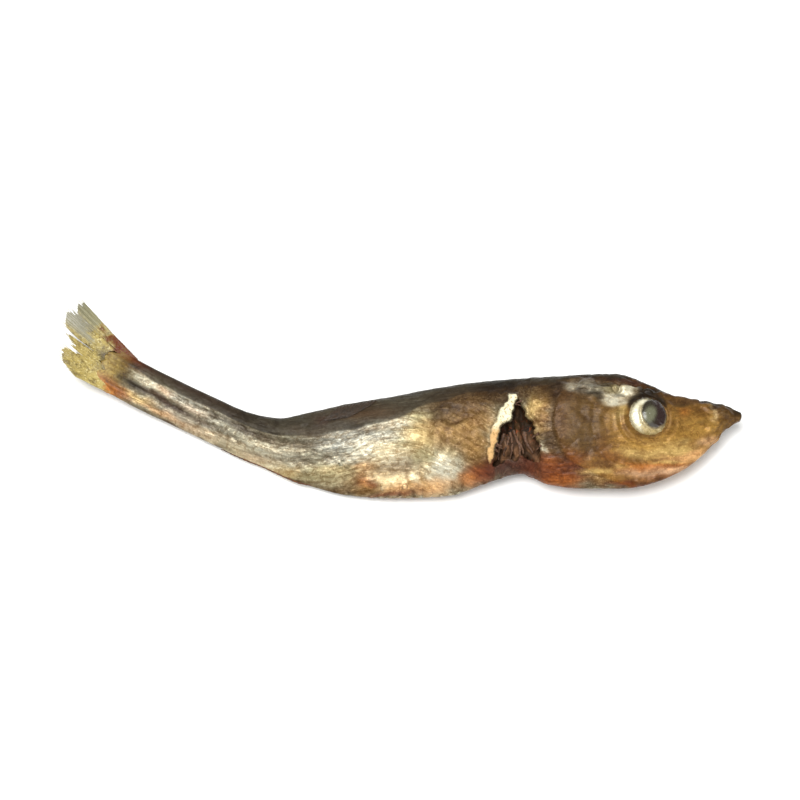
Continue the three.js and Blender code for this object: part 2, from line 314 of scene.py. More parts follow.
reliefForm = {
    # heights in mm
    "gillLift": 0.14, "gillFade": 5.5, "gillGroove": 0.06, "gillLip": 0.03,
    "socket": 1.0, "eyeGroove": 0.1, "eyeRim": 0.13, "eyeArc": 0.01,
    "preopercle": 0.05, "preopercleGroove": 0.05, "striae": 0.0, "seam": 0.03,
    "jawGroove": 0.1, "jawRidge": 0.14, "maxilla": 0.1, "mouth": 0.13, "nostril": 0.14,
    "cheekbone": 0.09, "brow": 0.2, "skull": 0.5, "throatRays": 0.045,
    "septum": 0.09, "chevron": 0.016, "ribs": 0.035, "scales": 0.016,
    "backCreases": 0.07, "flowCreases": 0.085, "flowFine": 0.03, "pleats": 0.3, "tailFan": 0.03,
    "shrivel": 0.13, "crinkle": 0.055, "headFolds": 0.14, "snoutLumps": 0.5, "lumps": 0.2,
}

# hollows where the flesh has shrunk, and swellings: along, up, reach along, reach up, mm
headHollows = [(17.8, 3.5, 1.7, 1.0, -0.42), (8.0, -0.6, 2.3, 1.4, -0.16), (12.2, -7.3, 3.2, 0.5, -0.25),
               (23.6, 0.6, 2.4, 2.4, -0.14), (22.4, -3.4, 2.0, 1.2, -0.1), (5.0, 1.2, 1.6, 0.8, -0.16),
               (16.2, -4.9, 2.6, 0.9, -0.18), (10.2, 3.4, 1.4, 0.6, -0.2)]
bodyHollows = [(34.0, 6.3, 5.0, 1.2, -0.25), (41.0, 2.6, 3.6, 1.7, -0.36), (47.5, 0.4, 3.2, 1.5, 0.32),
               (53.0, 2.2, 4.5, 1.0, -0.38), (50.0, -3.6, 4.2, 1.5, -0.38), (58.5, -1.6, 4.0, 1.3, -0.28),
               (64.5, 0.4, 5.0, 0.9, -0.26), (74.0, 0.9, 7.0, 0.7, -0.16), (84.0, -0.7, 6.0, 0.6, -0.24),
               (38.6, -1.6, 1.6, 3.2, 0.34), (43.8, -3.9, 1.9, 1.5, 0.36), (69.0, -1.2, 3.0, 0.8, 0.18),
               (61.0, -3.6, 3.0, 0.8, 0.2), (49.6, -6.0, 3.0, 0.7, 0.2)]

# the lower edge of the dark back, as (along, up)
backEdge = [(0.0, 0.35), (4.0, 2.2), (8.9, 5.1), (15.0, 7.0), (20.0, 7.6), (23.5, 7.2), (27.0, 6.4), (32.6, 6.2),
            (39.0, 6.0), (45.8, 4.9), (49.0, 3.6), (52.9, 2.9), (58.0, 2.3), (63.1, 1.6), (68.2, 1.5), (77.0, 1.7),
            (86.9, 1.6), (92.0, 1.8), (97.0, 1.9)]

# folds in the skin behind the belly and between the crumples, sunk and painted dark along their bottoms as painted
# shade; as (along, up), with width and depth
skinFolds = [
    ([(62.2, -0.3), (60.2, -1.2), (58.4, -2.4), (56.8, -3.5)], 0.13, 0.09),
    ([(53.6, 1.5), (55.6, 0.9), (57.4, 0.9)], 0.12, 0.06),
]

# how steeply the creases climb tailwards behind the tear, as (along, mm up for each mm along)
creaseSlope = [(0, 0), (33, 0), (36.5, 0.75), (44, 0.7), (49, 0.15), (53, -0.2), (60, -0.12), (66, 0), (100, 0)]


def ringMarks():
    f = skinForm
    fine = np.arange(0, f["fineTo"], f["fineStep"])
    count = round((fishForm["length"] - f["fineTo"]) / f["coarseStep"]) + 1
    return np.concatenate([fine, np.linspace(f["fineTo"], fishForm["length"], count)])


def ringAngles():
    # angles from the back ridge round the upper flank, the keel and the lower flank, evenly over the skin
    def even(count):
        turn = np.linspace(0, math.pi, 721)
        lift, side = np.cos(turn), np.sin(turn)
        out = side ** fishForm["fullness"] * (1 - 0.5 * ((1 - lift) / 2) ** 2) * 4.0
        path = np.concatenate([[0], np.cumsum(np.hypot(np.diff(lift * 8), np.diff(out)))])
        return np.interp(np.arange(count) / count * path[-1], path, turn)

    return np.concatenate([even(skinForm["upperPoints"]), 2 * math.pi - even(skinForm["lowerPoints"])[::-1]])


def flowOf(at, across, up):
    # a coordinate across the creases: they run tailwards, and climb behind the tear
    marks = np.linspace(0, 100, 401)
    slope = np.interp(marks, *np.array(creaseSlope, float).T)
    climb = np.concatenate([[0], np.cumsum(slope[:-1] * 0.25)])
    return across - np.interp(at, marks, climb) * (1 - smooth(3.6, 6.0, up))


def skinGrain(at, across, flank, alongSize, acrossSize, seed, octaves=1):
    # grain stretched along the body, different on the two flanks
    place = np.stack([at / alongSize, across / acrossSize, flank * 7.7 + 0 * at], -1)
    return grain(place, 1.0, seed, octaves)


def turned(spot):
    # the same place in axes that lie askew, so that no grain follows the body
    return spot @ np.array([[0.64, 0.48, 0.6], [-0.6, 0.8, 0.0], [-0.48, -0.36, 0.8]]).T


def creases(values, sharp=2.2):
    # folds with narrow dark bottoms, from -1 at the bottom to 0
    return -np.clip(1 - np.abs(values) * sharp, 0, 1) ** 1.6


def headRelief(at, up, flank, spot):
    r, h = reliefForm, headForm
    spot = turned(spot)
    wAt = at + 0.34 * grain(spot, 4.0, 11, 2)
    wUp = up + 0.3 * grain(spot, 3.4, 12, 2)
    cover = gillEdge(wUp) - wAt
    below = 1 - smooth(4.9, 6.9, up)
    inside = below * smooth(-0.1, 0.5, cover) + (1 - below) * (1 - smooth(24.0, 27.5, at))
    sharp = below * (0.25 + 0.75 * smooth(-7.0, -3.6, up))
    height = sharp * r["gillLift"] * smooth(-0.22, 0.22, cover) * (1 - smooth(1.2, r["gillFade"], cover))
    height -= sharp * r["gillGroove"] * hump(cover, -0.55, 0.6)

    eyeAt, eyeUp, eyeRadius = h["eye"]
    fromEye = np.hypot(at - eyeAt, up - eyeUp)
    height -= r["socket"] * (1 - smooth(eyeRadius - 0.55, eyeRadius - 0.05, fromEye))
    height -= r["eyeGroove"] * hump(fromEye, eyeRadius + 0.2, 0.24)
    height += r["eyeRim"] * hump(fromEye, eyeRadius + 0.72, 0.42)
    under = smooth(-1.8, 1.8, (at - eyeAt) * 0.5 - (up - eyeUp))
    wFromEye = np.hypot(wAt - eyeAt, wUp - eyeUp)
    for ring, wide, deep in ((4.55, 0.26, 1.0), (5.2, 0.16, -0.9), (5.8, 0.3, 1.1), (6.6, 0.2, -1.0), (7.3, 0.4, 1.0)):
        height += r["eyeArc"] * deep * under * hump(wFromEye, ring, wide)

    gap, side = fromPath(wAt, wUp, h["preopercle"])
    height += r["preopercle"] * hump(gap, 0, 0.42) - r["preopercleGroove"] * hump(gap * side, 0.8, 0.36)
    turn = np.arctan2(wUp - 4.6, wAt - 20.2)
    fromJoint = np.hypot(wAt - 20.2, wUp - 4.6)
    opercle = inside * smooth(0.4, 1.4, gap * side) * smooth(-6.0, -4.0, up) * smooth(4.6, 3.4, up)
    height += r["striae"] * opercle * ripple(turn * 6.0 + 0.6 * grain(spot, 2.6, 14)) * smooth(1.5, 4.0, fromJoint)
    gap, side = fromPath(wAt, wUp, h["seam"])
    height -= r["seam"] * inside * hump(gap, 0, 0.22)
    low = smooth(0.2, 0.9, -gap * side) * smooth(11.5, 14.5, at) * smooth(-4.6, -6.0, up) * inside
    height += r["throatRays"] * low * ripple(gap / 0.66 + 0.25 * grain(spot, 3.0, 15), 1.5)

    gap, side = fromPath(wAt, wUp, h["jawEdge"])
    height += -r["jawGroove"] * hump(gap, 0, 0.26) + r["jawRidge"] * hump(gap * side, -0.62, 0.36)
    gap, side = fromPath(wAt, wUp, h["cheekbone"])
    height += r["cheekbone"] * (hump(gap, 0, 0.32) - hump(gap * side, 0.6, 0.3))
    gap, side = fromPath(wAt, wUp, h["browRidge"])
    height += r["brow"] * hump(gap, 0, 0.38) - 0.5 * r["brow"] * hump(gap * side, 0.8, 0.4)
    gap, side = fromPath(at, up, h["maxilla"])
    height += r["maxilla"] * (1 - smooth(0.4, 0.85, gap)) - 0.05 * hump(gap, 1.0, 0.2)
    gap, side = fromPath(at, up, h["mouth"])
    height += -r["mouth"] * hump(gap, 0, 0.15) + 0.04 * hump(gap, 0.4, 0.22)
    for nostrilAt, nostrilUp, wide in h["nostrils"]:
        gap = np.hypot(at - nostrilAt, up - nostrilUp)
        height += -r["nostril"] * hump(gap, 0, wide) + 0.03 * hump(gap, wide + 0.25, 0.16)

    skull = smooth(3.6, 5.2, up) * smooth(9.0, 13.0, at) * (1 - smooth(24.5, 28.0, at)) * smooth(0.97, 0.8, up / reachOf(at, up))
    height += r["skull"] * skull * (creases(grain(spot, 1.6, 16, 2), 1.8) + 0.4 * np.abs(grain(spot, 1.2, 17, 2)))
    height += r["headFolds"] * creases(grain(spot, 3.2, 18, 3), 2.4) * smooth(0.6, 1.4, fromEye - eyeRadius)
    height += r["snoutLumps"] * smooth(7.5, 3.5, at) * grain(spot, 1.1, 19, 2)
    height += spots(at, up, headHollows)
    return height, inside, cover, below


def bodyRelief(at, up, across, flank, spot, inside):
    r = reliefForm
    body = 1 - inside
    share = up / reachOf(at, up)
    flow = flowOf(at, across, up) + 0.35 * grain(spot, 3.4, 20, 2)
    back = smooth(-0.7, 0.7, up - np.interp(at, *np.array(backEdge).T) + 0.3 * grain(spot, 3.0, 21, 2))
    height = spots(at, up, bodyHollows)
    middle = smooth(40.0, 52.0, at) * (1 - smooth(88.0, 93.5, at))
    height -= r["septum"] * middle * hump(up, 0.75 + 0.35 * grain(spot, 9.0, 22), 0.5)
    height -= 0.5 * r["septum"] * smooth(56, 66, at) * hump(up, -2.0 + 0.2 * grain(spot, 7.0, 23), 0.4)
    bend = np.abs(np.abs(up - 0.8) - 1.7)
    height += r["chevron"] * middle * (1 - back) * ripple((at + 1.05 * bend + 0.7 * grain(spot, 4.0, 24, 2)) / 1.45)
    ribs = body * smooth(38, 42, at) * (1 - smooth(50, 56, at)) * smooth(0.9, 0.2, np.abs(share + 0.35))
    height += r["ribs"] * ribs * ripple((at + 0.55 * up + 0.5 * grain(spot, 3.0, 25, 2)) / 1.9)

    slack = 0.7 + 0.6 * grain(spot, 6.0, 26, 2)
    height += r["backCreases"] * back * body * creases(skinGrain(at, across, flank, 6.0, 0.9, 27, 2), 1.9) * slack
    plain = body * (1 - back) * smooth(-0.97, -0.75, share)
    wild = 0.85 - 0.35 * smooth(34, 37, at) * (1 - smooth(44, 49, at))
    height += r["flowCreases"] * plain * wild * creases(skinGrain(at, flow, flank, 6.5, 1.0, 28, 2), 1.7) * slack
    height += r["flowFine"] * plain * wild * creases(skinGrain(at, flow, flank, 2.6, 0.42, 29, 2), 1.5)
    foldMask = smooth(39.5, 42.5, at) * (1 - smooth(51.5, 55.5, at)) * smooth(-0.68, -0.93, share)
    height += r["pleats"] * foldMask * (ripple((at + 1.1 * grain(spot, 2.6, 30, 2)) / 1.5, 1.4) * 0.6 - 0.3)
    fan = smooth(87.0, 92.5, at)
    height += r["tailFan"] * fan * ripple((up + 0.2 * grain(spot, 3.0, 31)) / 0.7)
    worn = smooth(-0.1, 0.35, skinGrain(at, across, flank, 6.0, 3.0, 32, 3) + 0.1)
    small = (8.0 / np.maximum(3.4, reachOf(at, up))) ** 0.45
    net = scaleNet(at * small, across * small)
    height += r["scales"] * body * worn * (net - 0.6) * smooth(0.0, 0.6, np.abs(across))
    height += r["lumps"] * body * grain(spot, 7.0, 33, 2)
    return height, back, worn * body, flow


def buildSkinPoints():
    marks, angles = ringMarks(), ringAngles()
    at, angle = np.meshgrid(marks, angles, indexing="ij")
    flank = np.where(angle <= math.pi, 1.0, -1.0)
    lift = np.cos(angle)
    # a rough snout, an even outline behind it
    snout = smooth(7.0, 3.0, at) * grain(np.stack([at / 1.3, 1.2 * lift, 0 * at], -1), 1.0, 53, 2)
    up = lift * reachOf(at, lift) * (1 + 0.2 * snout)
    # the skin thins out onto the tail fin
    out = flankAt(at, up) * (1 - 0.72 * smooth(92.0, 97.0, at))
    smallEnd = smooth(0, 1.2, at) * (1 - smooth(95.6, 96.9, at))

    # the torn arch on the upper flank, sunk from above as deep as the flesh allows
    t = tearForm
    place = np.stack([at, up, 0 * at], -1)
    rough = t["ragged"] * (grain(place, 1.5, 41, 3) + 0.35 * grain(place, 0.5, 42))
    inside, behind, before = tearEdges(at, up, rough)
    upper = (flank > 0) * smooth(0.0, 0.5, out)
    sunk = smooth(0, t["wall"], inside) * upper
    lumpy = 0.82 + 0.26 * grain(place, 1.9, 43, 3)
    floorDepth = np.minimum(t["depth"] * lumpy, np.maximum(0, 2 * out - 0.75))
    rearFoot = smooth(-5.6, -3.6, up) * (1 - smooth(4.4, 5.6, up)) * upper
    flapWide = 0.22 + 0.24 * smooth(-3.0, 1.0, up) + 0.8 * shelfAt(up) + 0.14 * grain(place, 1.6, 49, 2)
    flapLine = hump(behind, flapWide, flapWide) * rearFoot
    flapSkin = smooth(-0.1, 0.3, behind) * (1 - smooth(1.1 * flapWide, 2.5 * flapWide, behind)) * rearFoot
    frontLine = hump(before, 0.35, 0.35) * rearFoot
    stand = t["flapRise"] * flapLine * (0.85 + 0.5 * grain(place, 1.3, 44)) + 0.16 * frontLine
    lean = -t["overhang"] * hump(behind, 0.0, 0.32) * rearFoot + 0.15 * hump(before, 0.0, 0.25) * rearFoot
    edge = gillEdge(up) - at
    coverLip = reliefForm["gillLip"] * hump(edge, 0.05, 0.28) * (1 - smooth(4.9, 6.9, up)) * smooth(-7.0, -4.0, up)
    fray = skinForm["tailFray"] * smooth(90.0, 97.0, at)
    fray = fray * (0.5 + 0.5 * np.abs(lift) ** 1.5 + 0.55 * grain(np.stack([up * 1.1, 0 * up, flank], -1), 1.0, 50, 2))
    base = placed(at + lean + coverLip - fray, up, flank * (out - sunk * floorDepth + stand))

    normals = gridNormals(base)
    ringStep = np.linalg.norm(np.roll(base, -1, 1) - base, axis=-1)
    ringPath = np.cumsum(ringStep, 1) - ringStep
    midUpper = np.argmin(np.abs(angles - math.pi / 2))
    midLower = np.argmin(np.abs(angles - 3 * math.pi / 2))
    across = np.where(flank > 0, ringPath[:, midUpper:midUpper + 1] - ringPath, ringPath - ringPath[:, midLower:midLower + 1])

    headHeight, onHead, cover, below = headRelief(at, up, flank, base)
    bodyHeight, back, scaly, flow = bodyRelief(at, up, across, flank, base, onHead)
    askew = turned(base)
    shrivel = creases(grain(askew, 1.9, 45, 2), 2.2) * (0.5 + 0.5 * smooth(-0.2, 0.5, grain(askew, 6.0, 46)))
    crinkle = grain(askew, 0.6, 47, 2)
    calm = 1 - 0.55 * onHead * smooth(0.0, 1.5, cover) * smooth(6.0, 4.0, up)
    fine = reliefForm["shrivel"] * shrivel * calm + reliefForm["crinkle"] * crinkle * calm
    headOnly = 1 - smooth(27.5, 30.0, at)
    height = headHeight * headOnly + bodyHeight * (1 - onHead)
    # folds of dried flesh that fan out from the top of the tear
    fan = np.arctan2(at - t["apexAt"], t["apexUp"] + 2.2 - up) * 4.6 + 0.45 * grain(place, 1.7, 52, 2)
    flesh = 0.34 * creases(np.mod(fan, 1.0) - 0.5, 2.4) + 0.2 * grain(base, 1.1, 48, 3)
    height = height * (1 - sunk * 0.85) + fine + sunk * flesh
    for path, wide, deep in skinFolds:
        height -= deep * hump(fromPath(at, up, path)[0], 0, wide) * (flank > 0)
    thin = np.minimum(1.0, 0.2 + out / 1.2)
    points = base + normals * (height * smallEnd * thin)[..., None]
    points[..., 2] = np.maximum(points[..., 2], fishForm["table"])
    facts = {
        "along": at, "across": across, "flow": flow, "flank": flank, "upward": up, "relief": height, "onHead": onHead,
        "back": back, "scaly": scaly, "torn": sunk, "flap": flapSkin * (1 - sunk), "cover": cover,
        "streaky": 0.7 - 0.35 * smooth(33, 37, at) * (1 - smooth(45, 50, at)) - 0.3 * smooth(60, 66, at) - 0.2 * onHead * smooth(5.0, 2.5, up),
    }
    return points, facts, marks, angles


print("sprat: shaping the skin")
skinPoints, skinFacts, skinMarks, skinAngles = buildSkinPoints()


# ---- shader helpers

def tint(red, green, blue):
    # a colour given from 0 to 255 as seen on screen
    def linear(value):
        value /= 255
        return value / 12.92 if value <= 0.04045 else ((value + 0.055) / 1.055) ** 2.4
    return (linear(red), linear(green), linear(blue), 1.0)


def feed(tree, socket, value):
    if isinstance(value, bpy.types.NodeSocket):
        tree.links.new(value, socket)
    else:
        socket.default_value = value


def put(tree, kind, inputs=None, **settings):
    node = tree.nodes.new(kind)
    for key, value in settings.items():
        setattr(node, key, value)
    for socket, value in (inputs or {}).items():
        feed(tree, node.inputs[socket], value)
    return node


def calc(tree, operation, first, second=None, third=None, clamp=False):
    node = put(tree, "ShaderNodeMath", operation=operation, use_clamp=clamp)
    for place, value in enumerate((first, second, third)):
        if value is not None:
            feed(tree, node.inputs[place], value)
    return node.outputs[0]


def blend(tree, amount, first, second, mode="MIX"):
    node = put(tree, "ShaderNodeMix", data_type="RGBA", blend_type=mode)
    for place, value in ((0, amount), (6, first), (7, second)):
        feed(tree, node.inputs[place], value)
    return node.outputs[2]


def spread(tree, value, fromLow, fromHigh, toLow=0.0, toHigh=1.0, smoothly=True):
    kind = "SMOOTHSTEP" if smoothly else "LINEAR"
    node = put(tree, "ShaderNodeMapRange", interpolation_type=kind)
    for place, part in enumerate((value, fromLow, fromHigh, toLow, toHigh)):
        feed(tree, node.inputs[place], part)
    return node.outputs[0]


def fact(tree, name):
    return put(tree, "ShaderNodeAttribute", attribute_name=name).outputs["Fac"]


def noise(tree, vector, scale, detail=3.0, rough=0.55, bent=0.0):
    inputs = {"Vector": vector, "Scale": scale, "Detail": detail, "Roughness": rough, "Distortion": bent}
    return put(tree, "ShaderNodeTexNoise", inputs).outputs[0]


def cells(tree, vector, scale, feature="F1", uneven=1.0):
    inputs = {"Vector": vector, "Scale": scale, "Randomness": uneven}
    return put(tree, "ShaderNodeTexVoronoi", inputs, feature=feature).outputs["Distance"]


def vectorOf(tree, x, y, z):
    return put(tree, "ShaderNodeCombineXYZ", {0: x, 1: y, 2: z}).outputs[0]


def millimetres(tree):
    # object coordinates with one unit to a millimetre
    place = put(tree, "ShaderNodeTexCoord").outputs["Object"]
    return put(tree, "ShaderNodeVectorMath", {0: place, 3: 1000.0}, operation="SCALE").outputs[0]


def makeGroup(name, inputs, outputs):
    tree = bpy.data.node_groups.new(name, "ShaderNodeTree")
    for socketName, kind, value in inputs:
        socket = tree.interface.new_socket(socketName, in_out="INPUT", socket_type=kind)
        if value is not None:
            socket.default_value = value
    for socketName, kind in outputs:
        tree.interface.new_socket(socketName, in_out="OUTPUT", socket_type=kind)
    return tree, tree.nodes.new("NodeGroupInput").outputs, tree.nodes.new("NodeGroupOutput").inputs


def useGroup(tree, group, inputs):
    node = put(tree, "ShaderNodeGroup", node_tree=group)
    for key, value in inputs.items():
        feed(tree, node.inputs[key], value)
    return node.outputs


def newMaterial(name):
    material = bpy.data.materials.new(name)
    material.use_nodes = True
    tree = material.node_tree
    tree.nodes.clear()
    shader = tree.nodes.new("ShaderNodeBsdfPrincipled")
    output = tree.nodes.new("ShaderNodeOutputMaterial")
    tree.links.new(shader.outputs[0], output.inputs[0])
    return material, tree, shader


floatSocket, colourSocket, vectorSocket = "NodeSocketFloat", "NodeSocketColor", "NodeSocketVector"


def makeCrinkleGroup():
    # foil-like creases that drying leaves: a height and the mask of the creases' bottoms
    tree, given, result = makeGroup(
        "dryCrinkle",
        [("Vector", vectorSocket, None), ("Scale", floatSocket, 1.0), ("Sharpness", floatSocket, 2.0)],
        [("Height", floatSocket), ("Creases", floatSocket)],
    )
    broad = noise(tree, given["Vector"], given["Scale"], 3.0, 0.5, 0.6)
    folded = calc(tree, "ABSOLUTE", calc(tree, "SUBTRACT", broad, 0.5))
    crease = calc(tree, "SUBTRACT", 1.0, calc(tree, "MULTIPLY", folded, given["Sharpness"], clamp=True), clamp=True)
    fineScale = calc(tree, "MULTIPLY", given["Scale"], 3.7)
    fine = noise(tree, given["Vector"], fineScale, 2.0, 0.6)
    height = calc(tree, "MULTIPLY_ADD", crease, -0.7, calc(tree, "MULTIPLY", fine, 0.35))
    feed(tree, result["Height"], height)
    feed(tree, result["Creases"], calc(tree, "POWER", crease, 2.0))
    return tree


def makeMottleGroup():
    # a colour broken up by patches of two others
    tree, given, result = makeGroup(
        "mottled",
        [("Vector", vectorSocket, None), ("Scale", floatSocket, 1.0), ("Amount", floatSocket, 1.0),
         ("Colour", colourSocket, None), ("Dark", colourSocket, None), ("Light", colourSocket, None)],
        [("Colour", colourSocket), ("Mask", floatSocket)],
    )
    patch = noise(tree, given["Vector"], given["Scale"], 4.0, 0.6, 0.4)
    fineScale = calc(tree, "MULTIPLY", given["Scale"], 2.9)
    speck = noise(tree, given["Vector"], fineScale, 3.0, 0.6)
    dark = calc(tree, "MULTIPLY", spread(tree, patch, 0.54, 0.36), given["Amount"])
    light = calc(tree, "MULTIPLY", spread(tree, speck, 0.53, 0.68), given["Amount"])
    colour = blend(tree, dark, given["Colour"], given["Dark"])
    feed(tree, result["Colour"], blend(tree, light, colour, given["Light"]))
    feed(tree, result["Mask"], patch)
    return tree


def makeScaleGroup():
    # the net of scale pockets: height over each scale and the dark line behind it
    tree, given, result = makeGroup(
        "scaleNet",
        [("Along", floatSocket, 0.0), ("Across", floatSocket, 0.0), ("Size", floatSocket, 1.3)],
        [("Height", floatSocket), ("Line", floatSocket), ("Random", floatSocket)],
    )
    rowPlace = calc(tree, "DIVIDE", given["Across"], given["Size"])
    row = calc(tree, "FLOOR", rowPlace)
    part = calc(tree, "SUBTRACT", calc(tree, "SUBTRACT", rowPlace, row), 0.5)
    bow = calc(tree, "MULTIPLY", calc(tree, "MULTIPLY", part, part), 1.5)
    shift = calc(tree, "MULTIPLY", calc(tree, "MODULO", calc(tree, "ABSOLUTE", row), 2.0), 0.5)
    place = calc(tree, "DIVIDE", given["Along"], calc(tree, "MULTIPLY", given["Size"], 1.12))
    step = calc(tree, "ADD", calc(tree, "ADD", place, shift), bow)
    column = calc(tree, "FLOOR", step)
    height = calc(tree, "SUBTRACT", step, column)
    feed(tree, result["Height"], height)
    edge = calc(tree, "MAXIMUM", spread(tree, height, 0.86, 1.0), spread(tree, height, 0.14, 0.0))
    feed(tree, result["Line"], edge)
    chance = put(tree, "ShaderNodeTexWhiteNoise", {"Vector": vectorOf(tree, row, column, 0.0)}, noise_dimensions="3D")
    feed(tree, result["Random"], chance.outputs["Value"])
    return tree


crinkleGroup, mottleGroup, scaleGroup = makeCrinkleGroup(), makeMottleGroup(), makeScaleGroup()


# ---- the skin's colours

skinTones = {
    # colour, how metallic, how rough
    "silver": (tint(146, 143, 122), 0.42, 0.42), "brightSilver": (tint(214, 213, 195), 0.45, 0.36),
    "paleSilver": (tint(222, 211, 177), 0.35, 0.38), "coolSilver": (tint(154, 156, 148), 0.45, 0.4),
    "oliveSilver": (tint(160, 152, 114), 0.35, 0.42), "gold": (tint(148, 114, 58), 0.32, 0.42),
    "paleGold": (tint(202, 176, 116), 0.35, 0.38), "brownGold": (tint(92, 66, 30), 0.28, 0.44),
    "rust": (tint(116, 54, 18), 0.05, 0.44), "orange": (tint(182, 116, 52), 0.08, 0.42),
    "pink": (tint(210, 176, 144), 0.25, 0.4), "peach": (tint(228, 186, 134), 0.15, 0.4),
    "cream": (tint(234, 216, 172), 0.12, 0.4), "white": (tint(240, 238, 218), 0.3, 0.36),
    "back": (tint(64, 58, 46), 0.1, 0.5), "backBrown": (tint(90, 68, 46), 0.12, 0.48),
    "backPlum": (tint(80, 54, 46), 0.12, 0.46), "charcoal": (tint(30, 24, 16), 0.08, 0.5),
    "plate": (tint(136, 106, 58), 0.18, 0.4), "plateGrey": (tint(100, 79, 47), 0.16, 0.42),
    "plateGold": (tint(172, 138, 74), 0.25, 0.38), "plateRed": (tint(124, 78, 36), 0.12, 0.4),
    "finOlive": (tint(166, 148, 90), 0.0, 0.45),
}

skinDepth = (1.2, 1.06, 1.06, 1.17)  # over 1 the colours are deeper and fuller: head, belly, flank, stalk

# how much of each colour the plain skin, the head's plates and the back start with
ground = {"skin": ("silver", 0.5), "head": ("plate", 0.6), "back": ("back", 6.0)}

